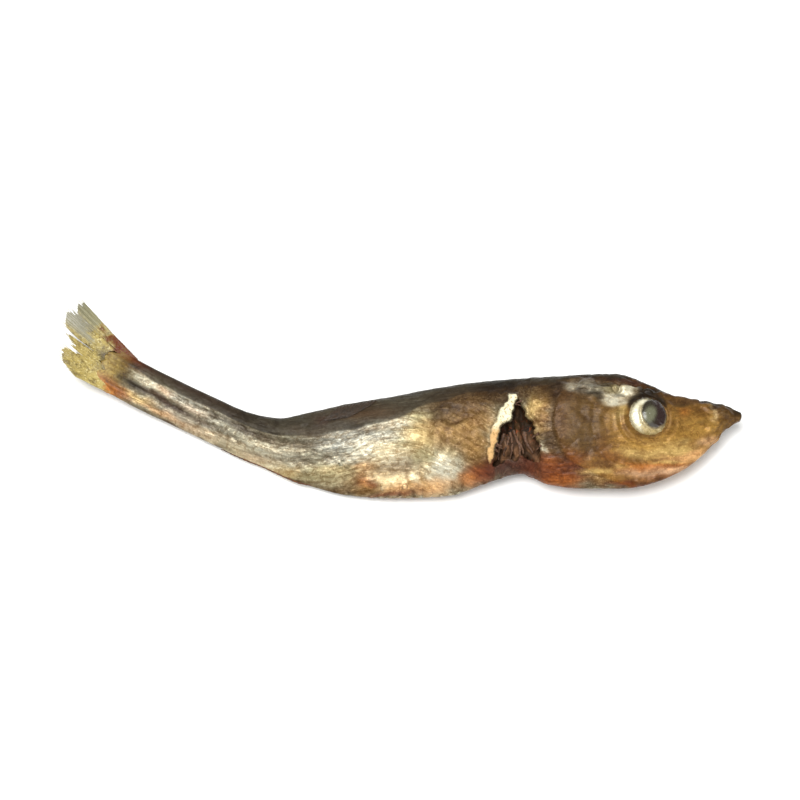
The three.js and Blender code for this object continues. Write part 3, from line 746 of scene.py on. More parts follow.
# where other colours lie: colour, along, up, reach along, reach up, amount
toneSpots = [
    # the front of the body and round the tear
    ("brownGold", 30.0, 5.2, 3.2, 1.5, 3.4), ("gold", 28.7, 1.4, 0.9, 3.0, 3.0), ("paleGold", 30.2, 2.6, 0.8, 1.5, 3.0),
    # the upright brown patch at 27.5 and the charcoal one at 27.9, just behind the gill cover's rear edge, are painted
    # shade of the gill slit
    ("brownGold", 27.5, -2.4, 0.6, 2.4, 3.4), ("brownGold", 28.4, 4.2, 1.6, 1.2, 2.0), ("cream", 29.1, -1.2, 0.3, 1.5, 2.4),
    ("brightSilver", 28.5, -3.2, 0.35, 0.7, 3.0), ("charcoal", 27.9, -2.2, 0.6, 0.6, 2.4),
    ("rust", 26.8, -6.4, 3.4, 1.6, 5.0), ("orange", 28.2, -5.4, 1.4, 0.9, 2.4), ("orange", 26.4, -7.8, 2.4, 0.8, 3.0), ("plateGold", 22.4, -7.6, 1.8, 0.6, 2.0),
    ("rust", 31.0, -5.4, 1.6, 1.2, 3.0), ("backPlum", 34.0, -5.4, 1.8, 0.8, 2.4), ("brownGold", 29.6, -2.0, 0.7, 2.4, 5.0), ("orange", 26.2, -6.2, 1.6, 1.0, 2.4),
    ("brownGold", 36.4, 5.1, 3.2, 1.2, 4.4), ("brownGold", 41.4, 4.6, 3.4, 1.1, 4.4), ("gold", 39.0, 1.8, 2.2, 2.4, 4.0),
    ("gold", 42.4, 0.8, 1.9, 2.4, 3.4), ("gold", 38.9, -2.2, 1.6, 1.9, 3.4), ("brownGold", 37.9, 2.6, 1.0, 1.5, 1.6),
    ("brownGold", 39.6, -0.6, 0.9, 0.8, 1.4), ("brownGold", 38.2, -4.2, 1.3, 0.9, 3.0), ("paleGold", 41.8, 2.2, 1.3, 0.8, 1.8),
    ("paleGold", 40.6, 0.9, 0.9, 0.5, 1.4), ("brownGold", 42.4, -1.0, 1.5, 1.0, 2.2), ("brownGold", 41.3, -2.2, 0.9, 0.8, 1.6),
    ("oliveSilver", 42.9, -2.3, 1.2, 0.9, 1.6), ("brightSilver", 43.6, -4.4, 1.2, 1.5, 4.0), ("rust", 38.3, -5.6, 1.5, 1.1, 6.0),
    ("orange", 40.0, -6.3, 1.2, 0.8, 2.0), ("rust", 36.9, -5.0, 0.8, 0.9, 2.0), ("brownGold", 41.8, -6.9, 1.1, 0.6, 1.6),
    # the flank
    ("paleGold", 46.6, 0.6, 2.0, 2.0, 1.6), ("oliveSilver", 48.6, 0.3, 1.6, 1.0, 3.0), ("oliveSilver", 46.2, 3.3, 2.2, 0.9, 2.8), ("oliveSilver", 46.4, -2.4, 1.7, 1.0, 2.6),
    ("gold", 45.0, 2.2, 1.2, 0.7, 1.4), ("paleSilver", 47.4, -4.3, 1.7, 1.2, 2.6), ("peach", 46.0, -6.6, 3.0, 0.8, 3.0),
    ("gold", 46.3, -5.3, 0.32, 1.4, 4.0), ("gold", 48.5, -5.0, 0.34, 1.6, 4.0), ("brownGold", 47.4, -6.6, 0.3, 0.8, 2.4),
    ("brightSilver", 50.4, 2.5, 1.9, 0.7, 3.4), ("coolSilver", 55.2, 1.3, 3.0, 0.9, 3.0), ("coolSilver", 51.0, 0.6, 2.0, 0.8, 4.0), ("brightSilver", 53.8, 2.0, 1.8, 0.5, 3.0),
    ("paleSilver", 51.0, -2.2, 2.2, 1.5, 6.0), ("white", 50.6, -3.2, 1.6, 1.1, 8.0), ("brightSilver", 54.8, -1.2, 1.9, 0.9, 3.6), ("coolSilver", 58.2, 0.2, 2.2, 0.9, 5.0), ("silver", 63.4, -0.8, 2.4, 1.2, 2.6), ("brightSilver", 57.6, -1.8, 1.6, 0.6, 3.4),
    ("cream", 51.2, -4.3, 1.7, 1.2, 12.0), ("brownGold", 54.2, -6.5, 1.8, 0.5, 1.8), ("cream", 54.0, -3.8, 1.5, 0.8, 4.0), ("peach", 50.6, -6.5, 2.0, 0.6, 2.6), ("peach", 54.3, -3.4, 1.2, 0.8, 4.4),
    ("orange", 54.9, -4.9, 1.0, 0.8, 2.6), ("rust", 53.8, -5.7, 0.6, 0.4, 5.0), ("gold", 54.6, -6.2, 1.6, 0.5, 3.4),
    ("rust", 50.4, -7.3, 3.2, 0.3, 2.4), ("oliveSilver", 58.8, -3.8, 2.4, 1.2, 4.0), ("gold", 59.0, -3.6, 2.0, 0.9, 1.2), ("paleSilver", 58.4, -4.6, 2.0, 1.0, 0.8), ("gold", 57.0, -4.9, 1.2, 0.9, 1.2),
    ("silver", 62.4, -2.6, 2.4, 0.9, 1.6), ("paleSilver", 65.6, -0.9, 4.2, 1.1, 0.9), ("coolSilver", 66.0, -1.4, 4.6, 1.2, 2.0), ("oliveSilver", 62.6, -4.0, 2.2, 0.7, 2.0), ("brownGold", 59.4, -6.2, 3.4, 0.5, 4.0),
    ("brownGold", 63.8, -5.0, 2.4, 0.4, 2.4), ("paleGold", 65.4, -3.7, 1.2, 0.7, 2.0), ("pink", 69.4, -2.6, 1.6, 0.5, 1.4), ("paleSilver", 68.0, -3.2, 3.6, 0.8, 2.4),
    ("coolSilver", 60.6, 0.6, 2.8, 0.9, 1.6), ("backBrown", 62.0, 2.4, 3.6, 0.7, 2.0), ("paleSilver", 70.6, -1.9, 3.2, 0.8, 1.4),
    # the stalk
    ("coolSilver", 77.0, 0.6, 5.0, 0.7, 1.2), ("coolSilver", 82.4, 0.9, 2.6, 0.5, 1.6), ("pink", 80.0, 0.4, 2.0, 0.4, 0.6),
    ("brightSilver", 88.2, 0.85, 1.9, 0.4, 1.2), ("pink", 85.6, 0.8, 1.4, 0.4, 0.9), ("backPlum", 84.6, -0.4, 3.6, 0.4, 2.0), ("silver", 86.4, 1.9, 3.0, 0.4, 2.4),
    ("charcoal", 90.6, -0.3, 1.6, 0.4, 1.4), ("backPlum", 78.4, -0.7, 3.2, 0.4, 0.7), ("backPlum", 73.0, 0.9, 3.2, 0.5, 0.5),
    ("peach", 84.0, -2.1, 3.4, 0.3, 1.1), ("pink", 80.0, -1.9, 5.0, 0.5, 1.8), ("coolSilver", 78.0, -1.6, 6.0, 0.7, 2.0), ("paleGold", 88.6, -1.8, 2.2, 0.4, 1.2), ("paleSilver", 77.0, -1.9, 4.0, 0.6, 1.6),
    ("backBrown", 80.0, -2.95, 7.0, 0.2, 1.6), ("backBrown", 78.0, -1.3, 5.0, 0.3, 0.4),
    ("rust", 93.0, 2.7, 3.6, 0.7, 7.0), ("brownGold", 93.6, 1.2, 1.6, 1.0, 4.0), ("orange", 93.8, -2.4, 2.4, 0.7, 7.0),
    ("charcoal", 93.2, -0.2, 1.2, 0.7, 4.0), ("finOlive", 97.4, 0.6, 2.6, 4.0, 40.0), ("orange", 95.6, -2.4, 1.6, 0.9, 40.0),
    ("rust", 95.0, 2.9, 2.4, 0.6, 20.0),
    # the back
    ("backBrown", 54.4, 4.6, 3.8, 0.9, 12.0), ("backPlum", 61.0, 4.0, 1.0, 0.8, 6.0), ("backBrown", 36.0, 6.3, 8.0, 0.7, 2.2),
    ("charcoal", 44.0, 7.4, 14.0, 0.6, 2.4), ("charcoal", 66.0, 3.4, 8.0, 0.8, 2.2), ("backPlum", 82.0, 2.7, 9.0, 0.8, 3.0),
    # the gill cover and cheek
    # the tall brown band at 26.2 along the gill cover's rear edge is painted shade of the gill slit
    ("plateGrey", 23.4, 1.6, 2.4, 3.4, 5.0), ("plateGrey", 22.6, -2.4, 2.0, 2.0, 7.0), ("brownGold", 26.2, 0.4, 0.9, 4.2, 8.0),
    ("backBrown", 25.8, 4.4, 1.7, 1.3, 9.0), ("charcoal", 26.6, 5.8, 1.2, 0.9, 6.0), ("plateRed", 24.6, -4.6, 1.8, 1.2, 2.4), ("plateRed", 20.2, -3.4, 1.4, 1.4, 1.2), ("brownGold", 19.6, -2.0, 1.2, 1.2, 2.0),
    ("plate", 22.2, -5.8, 1.6, 0.8, 2.4), ("paleGold", 21.2, -6.9, 2.2, 0.32, 3.0), ("plateGold", 17.8, -1.2, 1.4, 2.0, 1.2), ("plate", 18.0, -1.0, 1.6, 2.2, 1.6),
    ("oliveSilver", 18.2, 0.6, 0.7, 1.2, 0.8), ("plateRed", 18.6, -5.0, 2.2, 0.7, 1.2), ("plateGold", 14.4, -3.3, 3.4, 0.7, 3.4),
    ("paleGold", 13.6, -4.2, 3.2, 0.5, 2.8), ("paleGold", 12.6, -3.0, 2.2, 0.3, 1.6), ("brownGold", 18.2, -3.4, 2.0, 0.4, 1.4),
    ("brownGold", 18.6, -6.2, 2.0, 0.4, 1.6), ("gold", 19.6, -7.8, 3.0, 0.5, 2.4), ("orange", 13.6, -6.3, 3.6, 0.5, 1.4),
    ("pink", 12.2, -7.0, 3.2, 0.5, 3.0), ("plateRed", 10.8, -7.6, 3.4, 0.3, 4.0), ("peach", 8.4, -5.1, 2.4, 0.6, 2.6),
    ("pink", 5.4, -3.5, 1.4, 0.5, 1.6), ("rust", 15.6, -8.3, 3.6, 0.35, 2.4), ("charcoal", 11.4, -7.95, 4.0, 0.22, 1.4),
    ("paleGold", 17.0, -6.3, 0.9, 0.25, 1.6), ("paleGold", 11.6, -5.7, 1.4, 0.22, 1.6), ("brownGold", 16.6, -0.9, 0.35, 0.9, 2.0),
    # the snout
    ("plateGold", 6.6, -1.4, 2.4, 1.8, 3.4), ("plateGold", 9.8, -2.4, 1.8, 0.9, 2.4), ("paleGold", 10.4, -3.9, 2.0, 0.6, 2.4),
    ("plate", 8.6, 0.8, 2.4, 1.6, 2.4), ("orange", 7.6, 1.2, 0.8, 0.8, 1.6), ("cream", 4.1, 0.3, 0.28, 1.1, 2.0),
    ("oliveSilver", 9.4, -2.9, 1.2, 0.4, 1.2), ("plateGrey", 2.2, -0.4, 1.4, 1.8, 3.0), ("backBrown", 2.4, 1.0, 1.8, 0.7, 3.0),
    ("charcoal", 0.2, 0.2, 0.9, 0.7, 1.8), ("backBrown", 5.6, 2.9, 2.6, 0.4, 2.4), ("brownGold", 2.0, -0.7, 1.4, 0.3, 1.8),
    ("plateRed", 5.6, 0.4, 0.6, 1.4, 0.6), ("charcoal", 3.3, 1.4, 0.7, 0.5, 3.0), ("charcoal", 5.3, -0.9, 0.5, 0.3, 2.2),
    ("charcoal", 7.6, 2.6, 0.9, 0.3, 2.0), ("plate", 1.6, -1.2, 1.2, 0.5, 2.4), ("brownGold", 7.0, 0.2, 0.6, 0.5, 1.2),
    # the top of the head: white patches on the crumples, partly the silvery skin and partly painted highlight, and
    # small charcoal patches in the folds between them as painted shade
    ("white", 24.5, 5.6, 0.9, 0.45, 6.0), ("coolSilver", 22.2, 5.3, 2.0, 1.0, 3.4), ("white", 18.8, 3.5, 1.1, 0.75, 8.0),
    ("white", 16.6, 4.9, 1.1, 0.65, 7.0), ("oliveSilver", 18.6, 5.2, 2.2, 1.0, 2.2), ("paleGold", 18.0, 2.0, 0.7, 0.8, 1.4),
    ("backPlum", 16.6, 6.9, 3.6, 0.6, 4.4), ("charcoal", 20.6, 7.4, 3.6, 0.6, 2.4), ("charcoal", 17.9, 4.2, 0.7, 0.25, 6.0),
    ("charcoal", 20.7, 3.9, 0.4, 0.9, 4.0), ("charcoal", 21.6, 4.6, 1.2, 0.3, 6.0), ("charcoal", 23.2, 5.6, 0.35, 0.8, 4.0),
    ("charcoal", 12.6, 5.3, 2.2, 0.5, 6.0), ("charcoal", 19.6, 5.9, 0.9, 0.35, 4.0), ("brownGold", 22.4, 5.2, 0.6, 0.5, 3.0), ("backBrown", 9.4, 4.4, 2.2, 0.5, 3.4), ("backBrown", 6.6, 3.3, 2.2, 0.35, 3.0),
]

def paintSkin(facts):
    # the mean of the colours that reach each place, with wandering edges, and their gloss
    at, up, flank = facts["along"], facts["upward"], facts["flank"]
    space = np.stack([at, up, flank * 9.0], -1)
    streak = np.stack([at / 2.6, facts["flow"] / 0.7, flank * 5.0], -1)
    speck = grain(streak, 1.0, 63, 3)
    wAt = at + 1.1 * grain(space, 3.4, 61, 3) + 0.5 * speck
    wUp = up + 0.5 * grain(space, 2.4, 62, 3) + 0.28 * grain(streak, 1.0, 64, 2)
    weights = {name: 0 * at for name in skinTones}
    weights[ground["skin"][0]] += ground["skin"][1] * (1 - facts["onHead"])
    weights[ground["head"][0]] += ground["head"][1] * facts["onHead"]
    weights[ground["back"][0]] += ground["back"][1] * smooth(0.3, 0.75, facts["back"] + 0.3 * speck)
    headOnly = smooth(-0.4, 0.3, facts["cover"])
    for name, alongSpot, upSpot, reachAlong, reachUp, amount in toneSpots:
        patch = spots(wAt, wUp, [(alongSpot, upSpot, reachAlong, reachUp, amount)])
        if name.startswith("plate"):
            patch = patch * headOnly
        weights[name] += patch * (1 + 0.5 * speck)
    # dark skin round the eye, thick above it, and dark flesh along the foot of the tear
    eyeAt, eyeUp, eyeRadius = headForm["eye"]
    fromEye = np.hypot(at - eyeAt, up - eyeUp)
    above = smooth(0.6, 2.6, up - eyeUp)
    weights["charcoal"] += (0.25 + 7.0 * above) * hump(fromEye, eyeRadius + 0.1 + 0.25 * above, 0.2 + 0.2 * above)
    footOf = hump(up, -5.3, 0.9) * smooth(27.8, 29.4, at) * smooth(38.4, 37.0, at) * (flank > 0)
    weights["backPlum"] += 4.5 * footOf * (1 + 0.6 * speck)
    weights["rust"] += 2.6 * footOf * smooth(-0.3, 0.5, speck)
    # painted shade along the bottoms of the skin's folds
    for path, wide, _ in skinFolds:
        weights["charcoal"] += 1.1 * (flank > 0) * hump(fromPath(wAt, wUp, path)[0], 0, wide)
    total = sum(weights.values()) + 1e-6
    colour = sum(np.array(skinTones[name][0][:3]) * (weight / total)[..., None] for name, weight in weights.items())
    root = smooth(90.0, 93.5, at)
    metal = (1 - root) * sum(skinTones[name][1] * weight / total for name, weight in weights.items())
    rough = sum(skinTones[name][2] * weight / total for name, weight in weights.items())
    depth = np.interp(at, (34, 43, 66, 74), skinDepth)[..., None]
    return colour ** depth, metal, rough


tornColours = {
    "torn": tint(62, 42, 20), "tornDark": tint(28, 18, 8), "tornRed": tint(112, 56, 30), "tornPale": tint(156, 120, 94),
    "tornLow": tint(130, 94, 66), "flap": tint(234, 229, 194), "flapLow": tint(206, 166, 112),
    "flapShade": tint(150, 120, 74), "shadow": tint(100, 74, 46), "sheen": tint(240, 232, 206),
}


def makeSkinMaterial():
    c = tornColours
    material, tree, shader = newMaterial("driedSkin")
    names = ("along", "across", "flow", "flank", "relief", "onHead", "back", "scaly", "torn", "flap", "metal",
             "rough", "upward", "streaky")
    given = {name: fact(tree, name) for name in names}
    tone = put(tree, "ShaderNodeAttribute", attribute_name="tone").outputs["Color"]
    space = millimetres(tree)
    flank = calc(tree, "MULTIPLY", given["flank"], 5.0)
    onSkin = vectorOf(tree, calc(tree, "MULTIPLY", given["along"], 0.28), given["flow"], flank)
    patches = noise(tree, space, 0.5, 5.0, 0.62, 0.5)
    specks = noise(tree, space, 2.8, 4.0, 0.65)
    net = useGroup(tree, scaleGroup, {"Along": given["along"], "Across": given["across"], "Size": 1.26})
    crinkle = useGroup(tree, crinkleGroup, {"Vector": onSkin, "Scale": 1.15, "Sharpness": 3.6})
    fineCrinkle = useGroup(tree, crinkleGroup, {"Vector": space, "Scale": 1.7, "Sharpness": 4.2})
    calmer = calc(tree, "SUBTRACT", 1.0, calc(tree, "MULTIPLY", given["onHead"], 0.6))

    unruly = calc(tree, "MULTIPLY", spread(tree, given["onHead"], 0.0, 1.0, 1.0, 0.8), spread(tree, given["back"], 0.2, 0.9, 1.0, 0.5))

    # patches of darker and lighter skin that follow the creases: partly the skin's own mottling, partly painted sheen
    # and painted shade of the crumpled foil-like skin
    dark = blend(tree, 1.0, tone, (0.4, 0.3, 0.2, 1), "MULTIPLY")
    bright = blend(tree, 1.0, tone, (1.7, 1.6, 1.45, 1), "MULTIPLY")
    # the lighter colour is mixed towards a painted sheen where the skin is metallic
    light = blend(tree, spread(tree, given["metal"], 0.2, 0.5, 0.0, 0.34), bright, c["sheen"])
    broken = useGroup(tree, mottleGroup, {
        "Vector": onSkin, "Scale": 1.3, "Amount": calc(tree, "MULTIPLY", unruly, given["streaky"]),
        "Colour": tone, "Dark": dark, "Light": light,
    })["Colour"]
    colour = useGroup(tree, mottleGroup, {
        "Vector": space, "Scale": 1.25, "Amount": calc(tree, "MULTIPLY", unruly, 0.66),
        "Colour": broken, "Dark": dark, "Light": light,
    })["Colour"]
    # foil-like flakes of skin, each its own brightness: the lighter ones get painted glints of sheen, the darker ones
    # painted shade
    flakes = put(tree, "ShaderNodeTexVoronoi", {"Vector": onSkin, "Scale": 2.3}, feature="F1").outputs["Color"]
    flake = put(tree, "ShaderNodeSeparateColor", {0: flakes}).outputs[0]
    flakeGlint = calc(tree, "MULTIPLY", spread(tree, flake, 0.62, 0.95, 0.0, 0.6), given["streaky"])
    flakeGlint = calc(tree, "MULTIPLY", flakeGlint, spread(tree, given["metal"], 0.2, 0.5))
    colour = blend(tree, flakeGlint, colour, light)
    flakeShade = calc(tree, "MULTIPLY", spread(tree, flake, 0.34, 0.02, 0.0, 0.6), given["streaky"])
    colour = blend(tree, flakeShade, colour, dark)
    # painted shade in the bottoms of the creases
    creaseShade = calc(tree, "MULTIPLY", calc(tree, "MULTIPLY", crinkle["Creases"], calmer), 0.4)
    colour = blend(tree, creaseShade, colour, dark)
    netMask = calc(tree, "MULTIPLY", calc(tree, "MULTIPLY", net["Line"], given["scaly"]), 0.3)
    colour = blend(tree, netMask, colour, dark)
    # painted shade in the hollows of the relief
    hollow = calc(tree, "MULTIPLY", spread(tree, given["relief"], -0.06, -0.4, 0.0, 0.7), calmer)
    colour = blend(tree, hollow, colour, c["shadow"], "MULTIPLY")
    # painted highlight on the ridges of the relief
    ridge = calc(tree, "MULTIPLY", spread(tree, given["relief"], 0.12, 0.45, 0.0, 0.3), spread(tree, specks, 0.4, 0.6))
    colour = blend(tree, ridge, colour, light)

    torn = useGroup(tree, mottleGroup, {
        "Vector": space, "Scale": 0.55, "Amount": 1.0, "Colour": c["torn"], "Dark": c["tornDark"], "Light": c["tornRed"],
    })["Colour"]
    fibre = noise(tree, vectorOf(tree, calc(tree, "MULTIPLY", given["along"], 2.2), calc(tree, "MULTIPLY", given["across"], 0.5), 0.0),
                  1.4, 3.0, 0.6, 0.6)
    lowDown = spread(tree, calc(tree, "MULTIPLY_ADD", patches, 3.0, given["upward"]), 1.6, -2.4, 0.0, 0.8)
    torn = blend(tree, lowDown, torn, c["tornLow"])
    paler = calc(tree, "MULTIPLY", spread(tree, fibre, 0.58, 0.74), spread(tree, given["upward"], 2.4, -1.6, 0.1, 0.75))
    torn = blend(tree, paler, torn, c["tornPale"])
    # painted shade in the sunk folds of the torn flesh
    torn = blend(tree, spread(tree, given["relief"], 0.02, -0.2, 0.0, 0.8), torn, c["tornDark"])
    tornEdge = calc(tree, "MULTIPLY_ADD", calc(tree, "SUBTRACT", specks, 0.5), 0.3, given["torn"])
    tornMask = spread(tree, tornEdge, 0.25, 0.55)
    colour = blend(tree, tornMask, colour, torn)
    flap = blend(tree, spread(tree, calc(tree, "MULTIPLY_ADD", patches, 2.0, given["upward"]), 2.2, -0.2), c["flap"], c["flapLow"])
    flap = blend(tree, spread(tree, specks, 0.46, 0.7, 0.0, 0.9), flap, c["flapShade"])
    flapEdge = calc(tree, "MULTIPLY_ADD", calc(tree, "SUBTRACT", specks, 0.5), 1.3, given["flap"])
    flapMask = spread(tree, flapEdge, 0.26, 0.78)
    colour = blend(tree, flapMask, colour, flap)
    feed(tree, shader.inputs["Base Color"], colour)

    bare = calc(tree, "SUBTRACT", 1.0, calc(tree, "MAXIMUM", tornMask, flapMask))
    metal = calc(tree, "MULTIPLY", calc(tree, "MULTIPLY", given["metal"], bare), spread(tree, patches, 0.3, 0.6, 0.7, 1.1))
    feed(tree, shader.inputs["Metallic"], metal)
    rough = calc(tree, "ADD", given["rough"], spread(tree, specks, 0.3, 0.7, -0.08, 0.12))
    rough = calc(tree, "MULTIPLY_ADD", calc(tree, "SUBTRACT", 1.0, bare), 0.22, rough)
    feed(tree, shader.inputs["Roughness"], rough)
    feed(tree, shader.inputs["Coat Weight"], calc(tree, "MULTIPLY", spread(tree, patches, 0.35, 0.7, 0.0, 0.12), calc(tree, "MULTIPLY", bare, spread(tree, given["back"], 0.2, 0.9, 1.0, 0.3))))
    shader.inputs["Coat Roughness"].default_value = 0.2
    shader.inputs["Specular IOR Level"].default_value = 0.14

    height = calc(tree, "MULTIPLY_ADD", fineCrinkle["Height"], 0.35, crinkle["Height"])
    netHeight = calc(tree, "MULTIPLY", calc(tree, "MULTIPLY", net["Height"], given["scaly"]), 0.3)
    height = calc(tree, "ADD", height, netHeight)
    height = calc(tree, "MULTIPLY_ADD", flake, 0.3, calc(tree, "MULTIPLY_ADD", specks, 0.3, height))
    bump = put(tree, "ShaderNodeBump", {"Strength": 0.6, "Distance": 0.0001, "Height": calc(tree, "MULTIPLY", height, calmer)})
    feed(tree, shader.inputs["Normal"], bump.outputs[0])
    return material


def buildSkin(material):
    points, facts = skinPoints, dict(skinFacts)
    colour, facts["metal"], facts["rough"] = skinPaint
    rings, around = points.shape[:2]
    # a rounded snout and a closed tail root
    nose = skinForm["noseRings"]
    middle = points[0].mean(0)
    forward = placed(0, 0, 0) - placed(1.0, 0, 0)
    forward = forward / np.linalg.norm(forward) * skinForm["noseReach"]
    capRings = []
    for step in range(1, nose + 1):
        turn = 0.5 * math.pi * (1 - step / (nose + 1))
        capRings.append(middle + (points[0] - middle) * math.cos(turn) + forward * math.sin(turn))
    ends = np.array([middle + forward, points[-1].mean(0)])
    allPoints = np.vstack([np.concatenate(capRings), points.reshape(-1, 3), ends])
    tipPoint, endPoint = len(allPoints) - 2, len(allPoints) - 1
    faces = gridFaces(rings + nose, around)
    faces += capFaces(tipPoint, 0, around, False)
    faces += capFaces(endPoint, (rings + nose - 1) * around, around, True)

    def spreadOver(values):
        grid = np.concatenate([np.repeat(values[:1], nose, 0), values])
        flat = grid.reshape((-1,) + values.shape[2:])
        return np.concatenate([flat, values[:1].mean(1), values[-1:].mean(1)])

    attributes = {key: spreadOver(values) for key, values in facts.items()}
    mesh = makeMesh("skin", allPoints, faces, attributes)
    paint = np.concatenate([spreadOver(colour), np.ones((len(allPoints), 1))], 1)
    mesh.attributes.new("tone", "FLOAT_COLOR", "POINT").data.foreach_set("color", paint.astype(np.float32).ravel())
    skin = makePiece("skin", mesh, material)
    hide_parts("dried_sprat")
    return skin


print("sprat: skin mesh")
skinMaterial = makeSkinMaterial()
skinPaint = paintSkin(skinFacts)
skinPiece = buildSkin(skinMaterial)
print("sprat: skin has", len(skinPiece.data.polygons), "faces")


# ---- eyes: a dried, slightly sunken dome in each socket

eyeForm = {
    "rings": 46, "around": 96, "radius": 3.02, "bulge": 1.02, "sunk": 0.34, "depth": 0.55,
    "pupilAt": -0.85, "pupilUp": 0.25, "pupilWide": 1.98, "pupilHigh": 2.3, "iris": 2.75,
}

eyeColours = {
    "iris": tint(196, 184, 146), "irisShade": tint(122, 104, 68), "irisGold": tint(160, 138, 86),
    "ring": tint(58, 48, 28), "pupil": tint(40, 34, 20), "pupilPlum": tint(38, 22, 18),
    "milk": tint(98, 98, 76), "glow": tint(238, 232, 202),
}


def buildEye(name, flank, material):
    f = eyeForm
    eyeAt, eyeUp, _ = headForm["eye"]
    reach, turn = np.meshgrid(np.linspace(0, 1, f["rings"] + 1)[1:], np.arange(f["around"]) / f["around"] * 2 * math.pi,
                              indexing="ij")
    turn = -turn * flank
    reach = np.sin(reach * math.pi / 2)
    right, high = reach * f["radius"] * np.cos(turn), reach * f["radius"] * np.sin(turn)
    at, up = eyeAt + right, eyeUp + high
    place = np.stack([right, high, 0 * right + 3.3 * flank], -1)
    fromPupil = np.hypot((right - f["pupilAt"]) / f["pupilWide"], (high - f["pupilUp"]) / f["pupilHigh"])
    glow = hump(np.hypot((right - 2.05 + 0.16 * high ** 2) / 0.58, (high + 0.1) / 2.2), 0, 1.0)
    glow = np.maximum(glow, hump(np.hypot((right - 0.75) / 0.85, (high - 1.95) / 0.5), 0, 1.0))
    milk = hump(np.hypot((right + 0.15 + 0.25 * high) / 1.05, (high + 0.05) / 1.4), 0, 1.0)
    tail = smooth(-1.0, 2.2, right - 0.3 * high)
    height = f["bulge"] * (1 - np.clip(reach, 0, 1) ** 2) ** 0.62 - f["sunk"]
    height += 0.1 * glow + 0.14 * milk - 0.14 * hump(fromPupil, 1.06, 0.12) - 0.1 * hump(fromPupil, 0, 0.6)
    height += 0.07 * grain(place, 1.1, 71, 3) * smooth(0.0, 0.9, reach) + 0.03 * grain(place, 0.35, 72, 2)
    height += 0.05 * smooth(0.55, 0.8, reach) * ripple(turn * 3.2 + 1.2 * grain(place, 1.5, 73))
    surface = placed(at, up, flank * (flankAt(at, up) + height))
    centreOut = flankAt(eyeAt, eyeUp)
    top = placed(eyeAt, eyeUp, flank * (centreOut + f["bulge"] - f["sunk"] - 0.04))
    hidden = placed(at[-1], up[-1], flank * (flankAt(at[-1], up[-1]) - f["sunk"] - f["depth"]))
    bottom = placed(eyeAt, eyeUp, flank * (centreOut - f["sunk"] - f["depth"]))
    points = np.vstack([surface.reshape(-1, 3), hidden, top[None], bottom[None]])
    points[:, 2] = np.maximum(points[:, 2], 0.004)
    rings, around = f["rings"] + 1, f["around"]
    faces = gridFaces(rings, around)
    faces += capFaces(len(points) - 2, 0, around, False)
    faces += capFaces(len(points) - 1, (rings - 1) * around, around, True)

    def full(values, atTop):
        return np.concatenate([values.ravel(), values[-1], [atTop, values[-1].mean()]])

    attributes = {
        "fromPupil": full(fromPupil, np.hypot(f["pupilAt"] / f["pupilWide"], f["pupilUp"] / f["pupilHigh"])), "glow": full(glow, 0.2), "milk": full(milk, 0.9),
        "outward": full(reach, 0.0), "tailSide": full(tail, 0.3), "right": full(right, 0.0), "high": full(high, 0.0),
    }
    return makePiece(name, makeMesh(name, points, faces, attributes), material)


def makeEyeMaterial():
    c, f = eyeColours, eyeForm
    material, tree, shader = newMaterial("driedEye")
    given = {name: fact(tree, name) for name in ("fromPupil", "glow", "milk", "outward", "tailSide", "right", "high")}
    place = vectorOf(tree, given["right"], given["high"], 0.0)
    patches = noise(tree, place, 0.9, 5.0, 0.6, 0.4)
    specks = noise(tree, place, 3.4, 3.0, 0.6)
    iris = useGroup(tree, mottleGroup, {
        "Vector": place, "Scale": 1.3, "Amount": 0.75, "Colour": c["iris"], "Dark": c["irisShade"], "Light": c["glow"],
    })["Colour"]
    lower = spread(tree, calc(tree, "MULTIPLY_ADD", patches, 1.4, given["high"]), 0.2, -2.2)
    front = spread(tree, given["right"], -0.6, -2.6)
    iris = blend(tree, calc(tree, "MAXIMUM", lower, front), iris, c["irisGold"])
    iris = blend(tree, spread(tree, given["glow"], 0.15, 0.8), iris, c["glow"])
    rim = spread(tree, calc(tree, "MULTIPLY_ADD", patches, 0.16, given["outward"]), 0.8, 1.0)
    above = spread(tree, given["high"], 0.6, 2.6, 0.25, 1.0)
    colour = blend(tree, calc(tree, "MULTIPLY", rim, above), iris, c["ring"])
    edge = calc(tree, "MULTIPLY_ADD", calc(tree, "SUBTRACT", patches, 0.5), 0.3, given["fromPupil"])
    inPupil = spread(tree, edge, 1.1, 0.86)
    pupil = blend(tree, spread(tree, given["right"], -0.2, -1.6), c["pupil"], c["pupilPlum"])
    milky = spread(tree, calc(tree, "MULTIPLY_ADD", calc(tree, "SUBTRACT", patches, 0.5), 0.35, given["milk"]), 0.2, 0.8)
    pupil = blend(tree, milky, pupil, c["milk"])
    feed(tree, shader.inputs["Base Color"], blend(tree, inPupil, colour, pupil))
    feed(tree, shader.inputs["Metallic"], spread(tree, inPupil, 0.0, 1.0, 0.3, 0.0))
    feed(tree, shader.inputs["Roughness"], spread(tree, specks, 0.3, 0.7, 0.2, 0.42))
    shader.inputs["Coat Weight"].default_value = 0.35
    shader.inputs["Coat Roughness"].default_value = 0.12
    shader.inputs["Specular IOR Level"].default_value = 0.35
    crinkle = useGroup(tree, crinkleGroup, {"Vector": place, "Scale": 1.0, "Sharpness": 4.0})["Height"]
    calm = spread(tree, inPupil, 0.0, 1.0, 1.0, 0.25)
    bump = put(tree, "ShaderNodeBump", {"Strength": 0.5, "Distance": 0.00012, "Height": calc(tree, "MULTIPLY", crinkle, calm)})
    feed(tree, shader.inputs["Normal"], bump.outputs[0])
    return material


print("sprat: eyes")
eyeMaterial = makeEyeMaterial()
buildEye("eyeUpper", 1, eyeMaterial)
buildEye("eyeLower", -1, eyeMaterial)


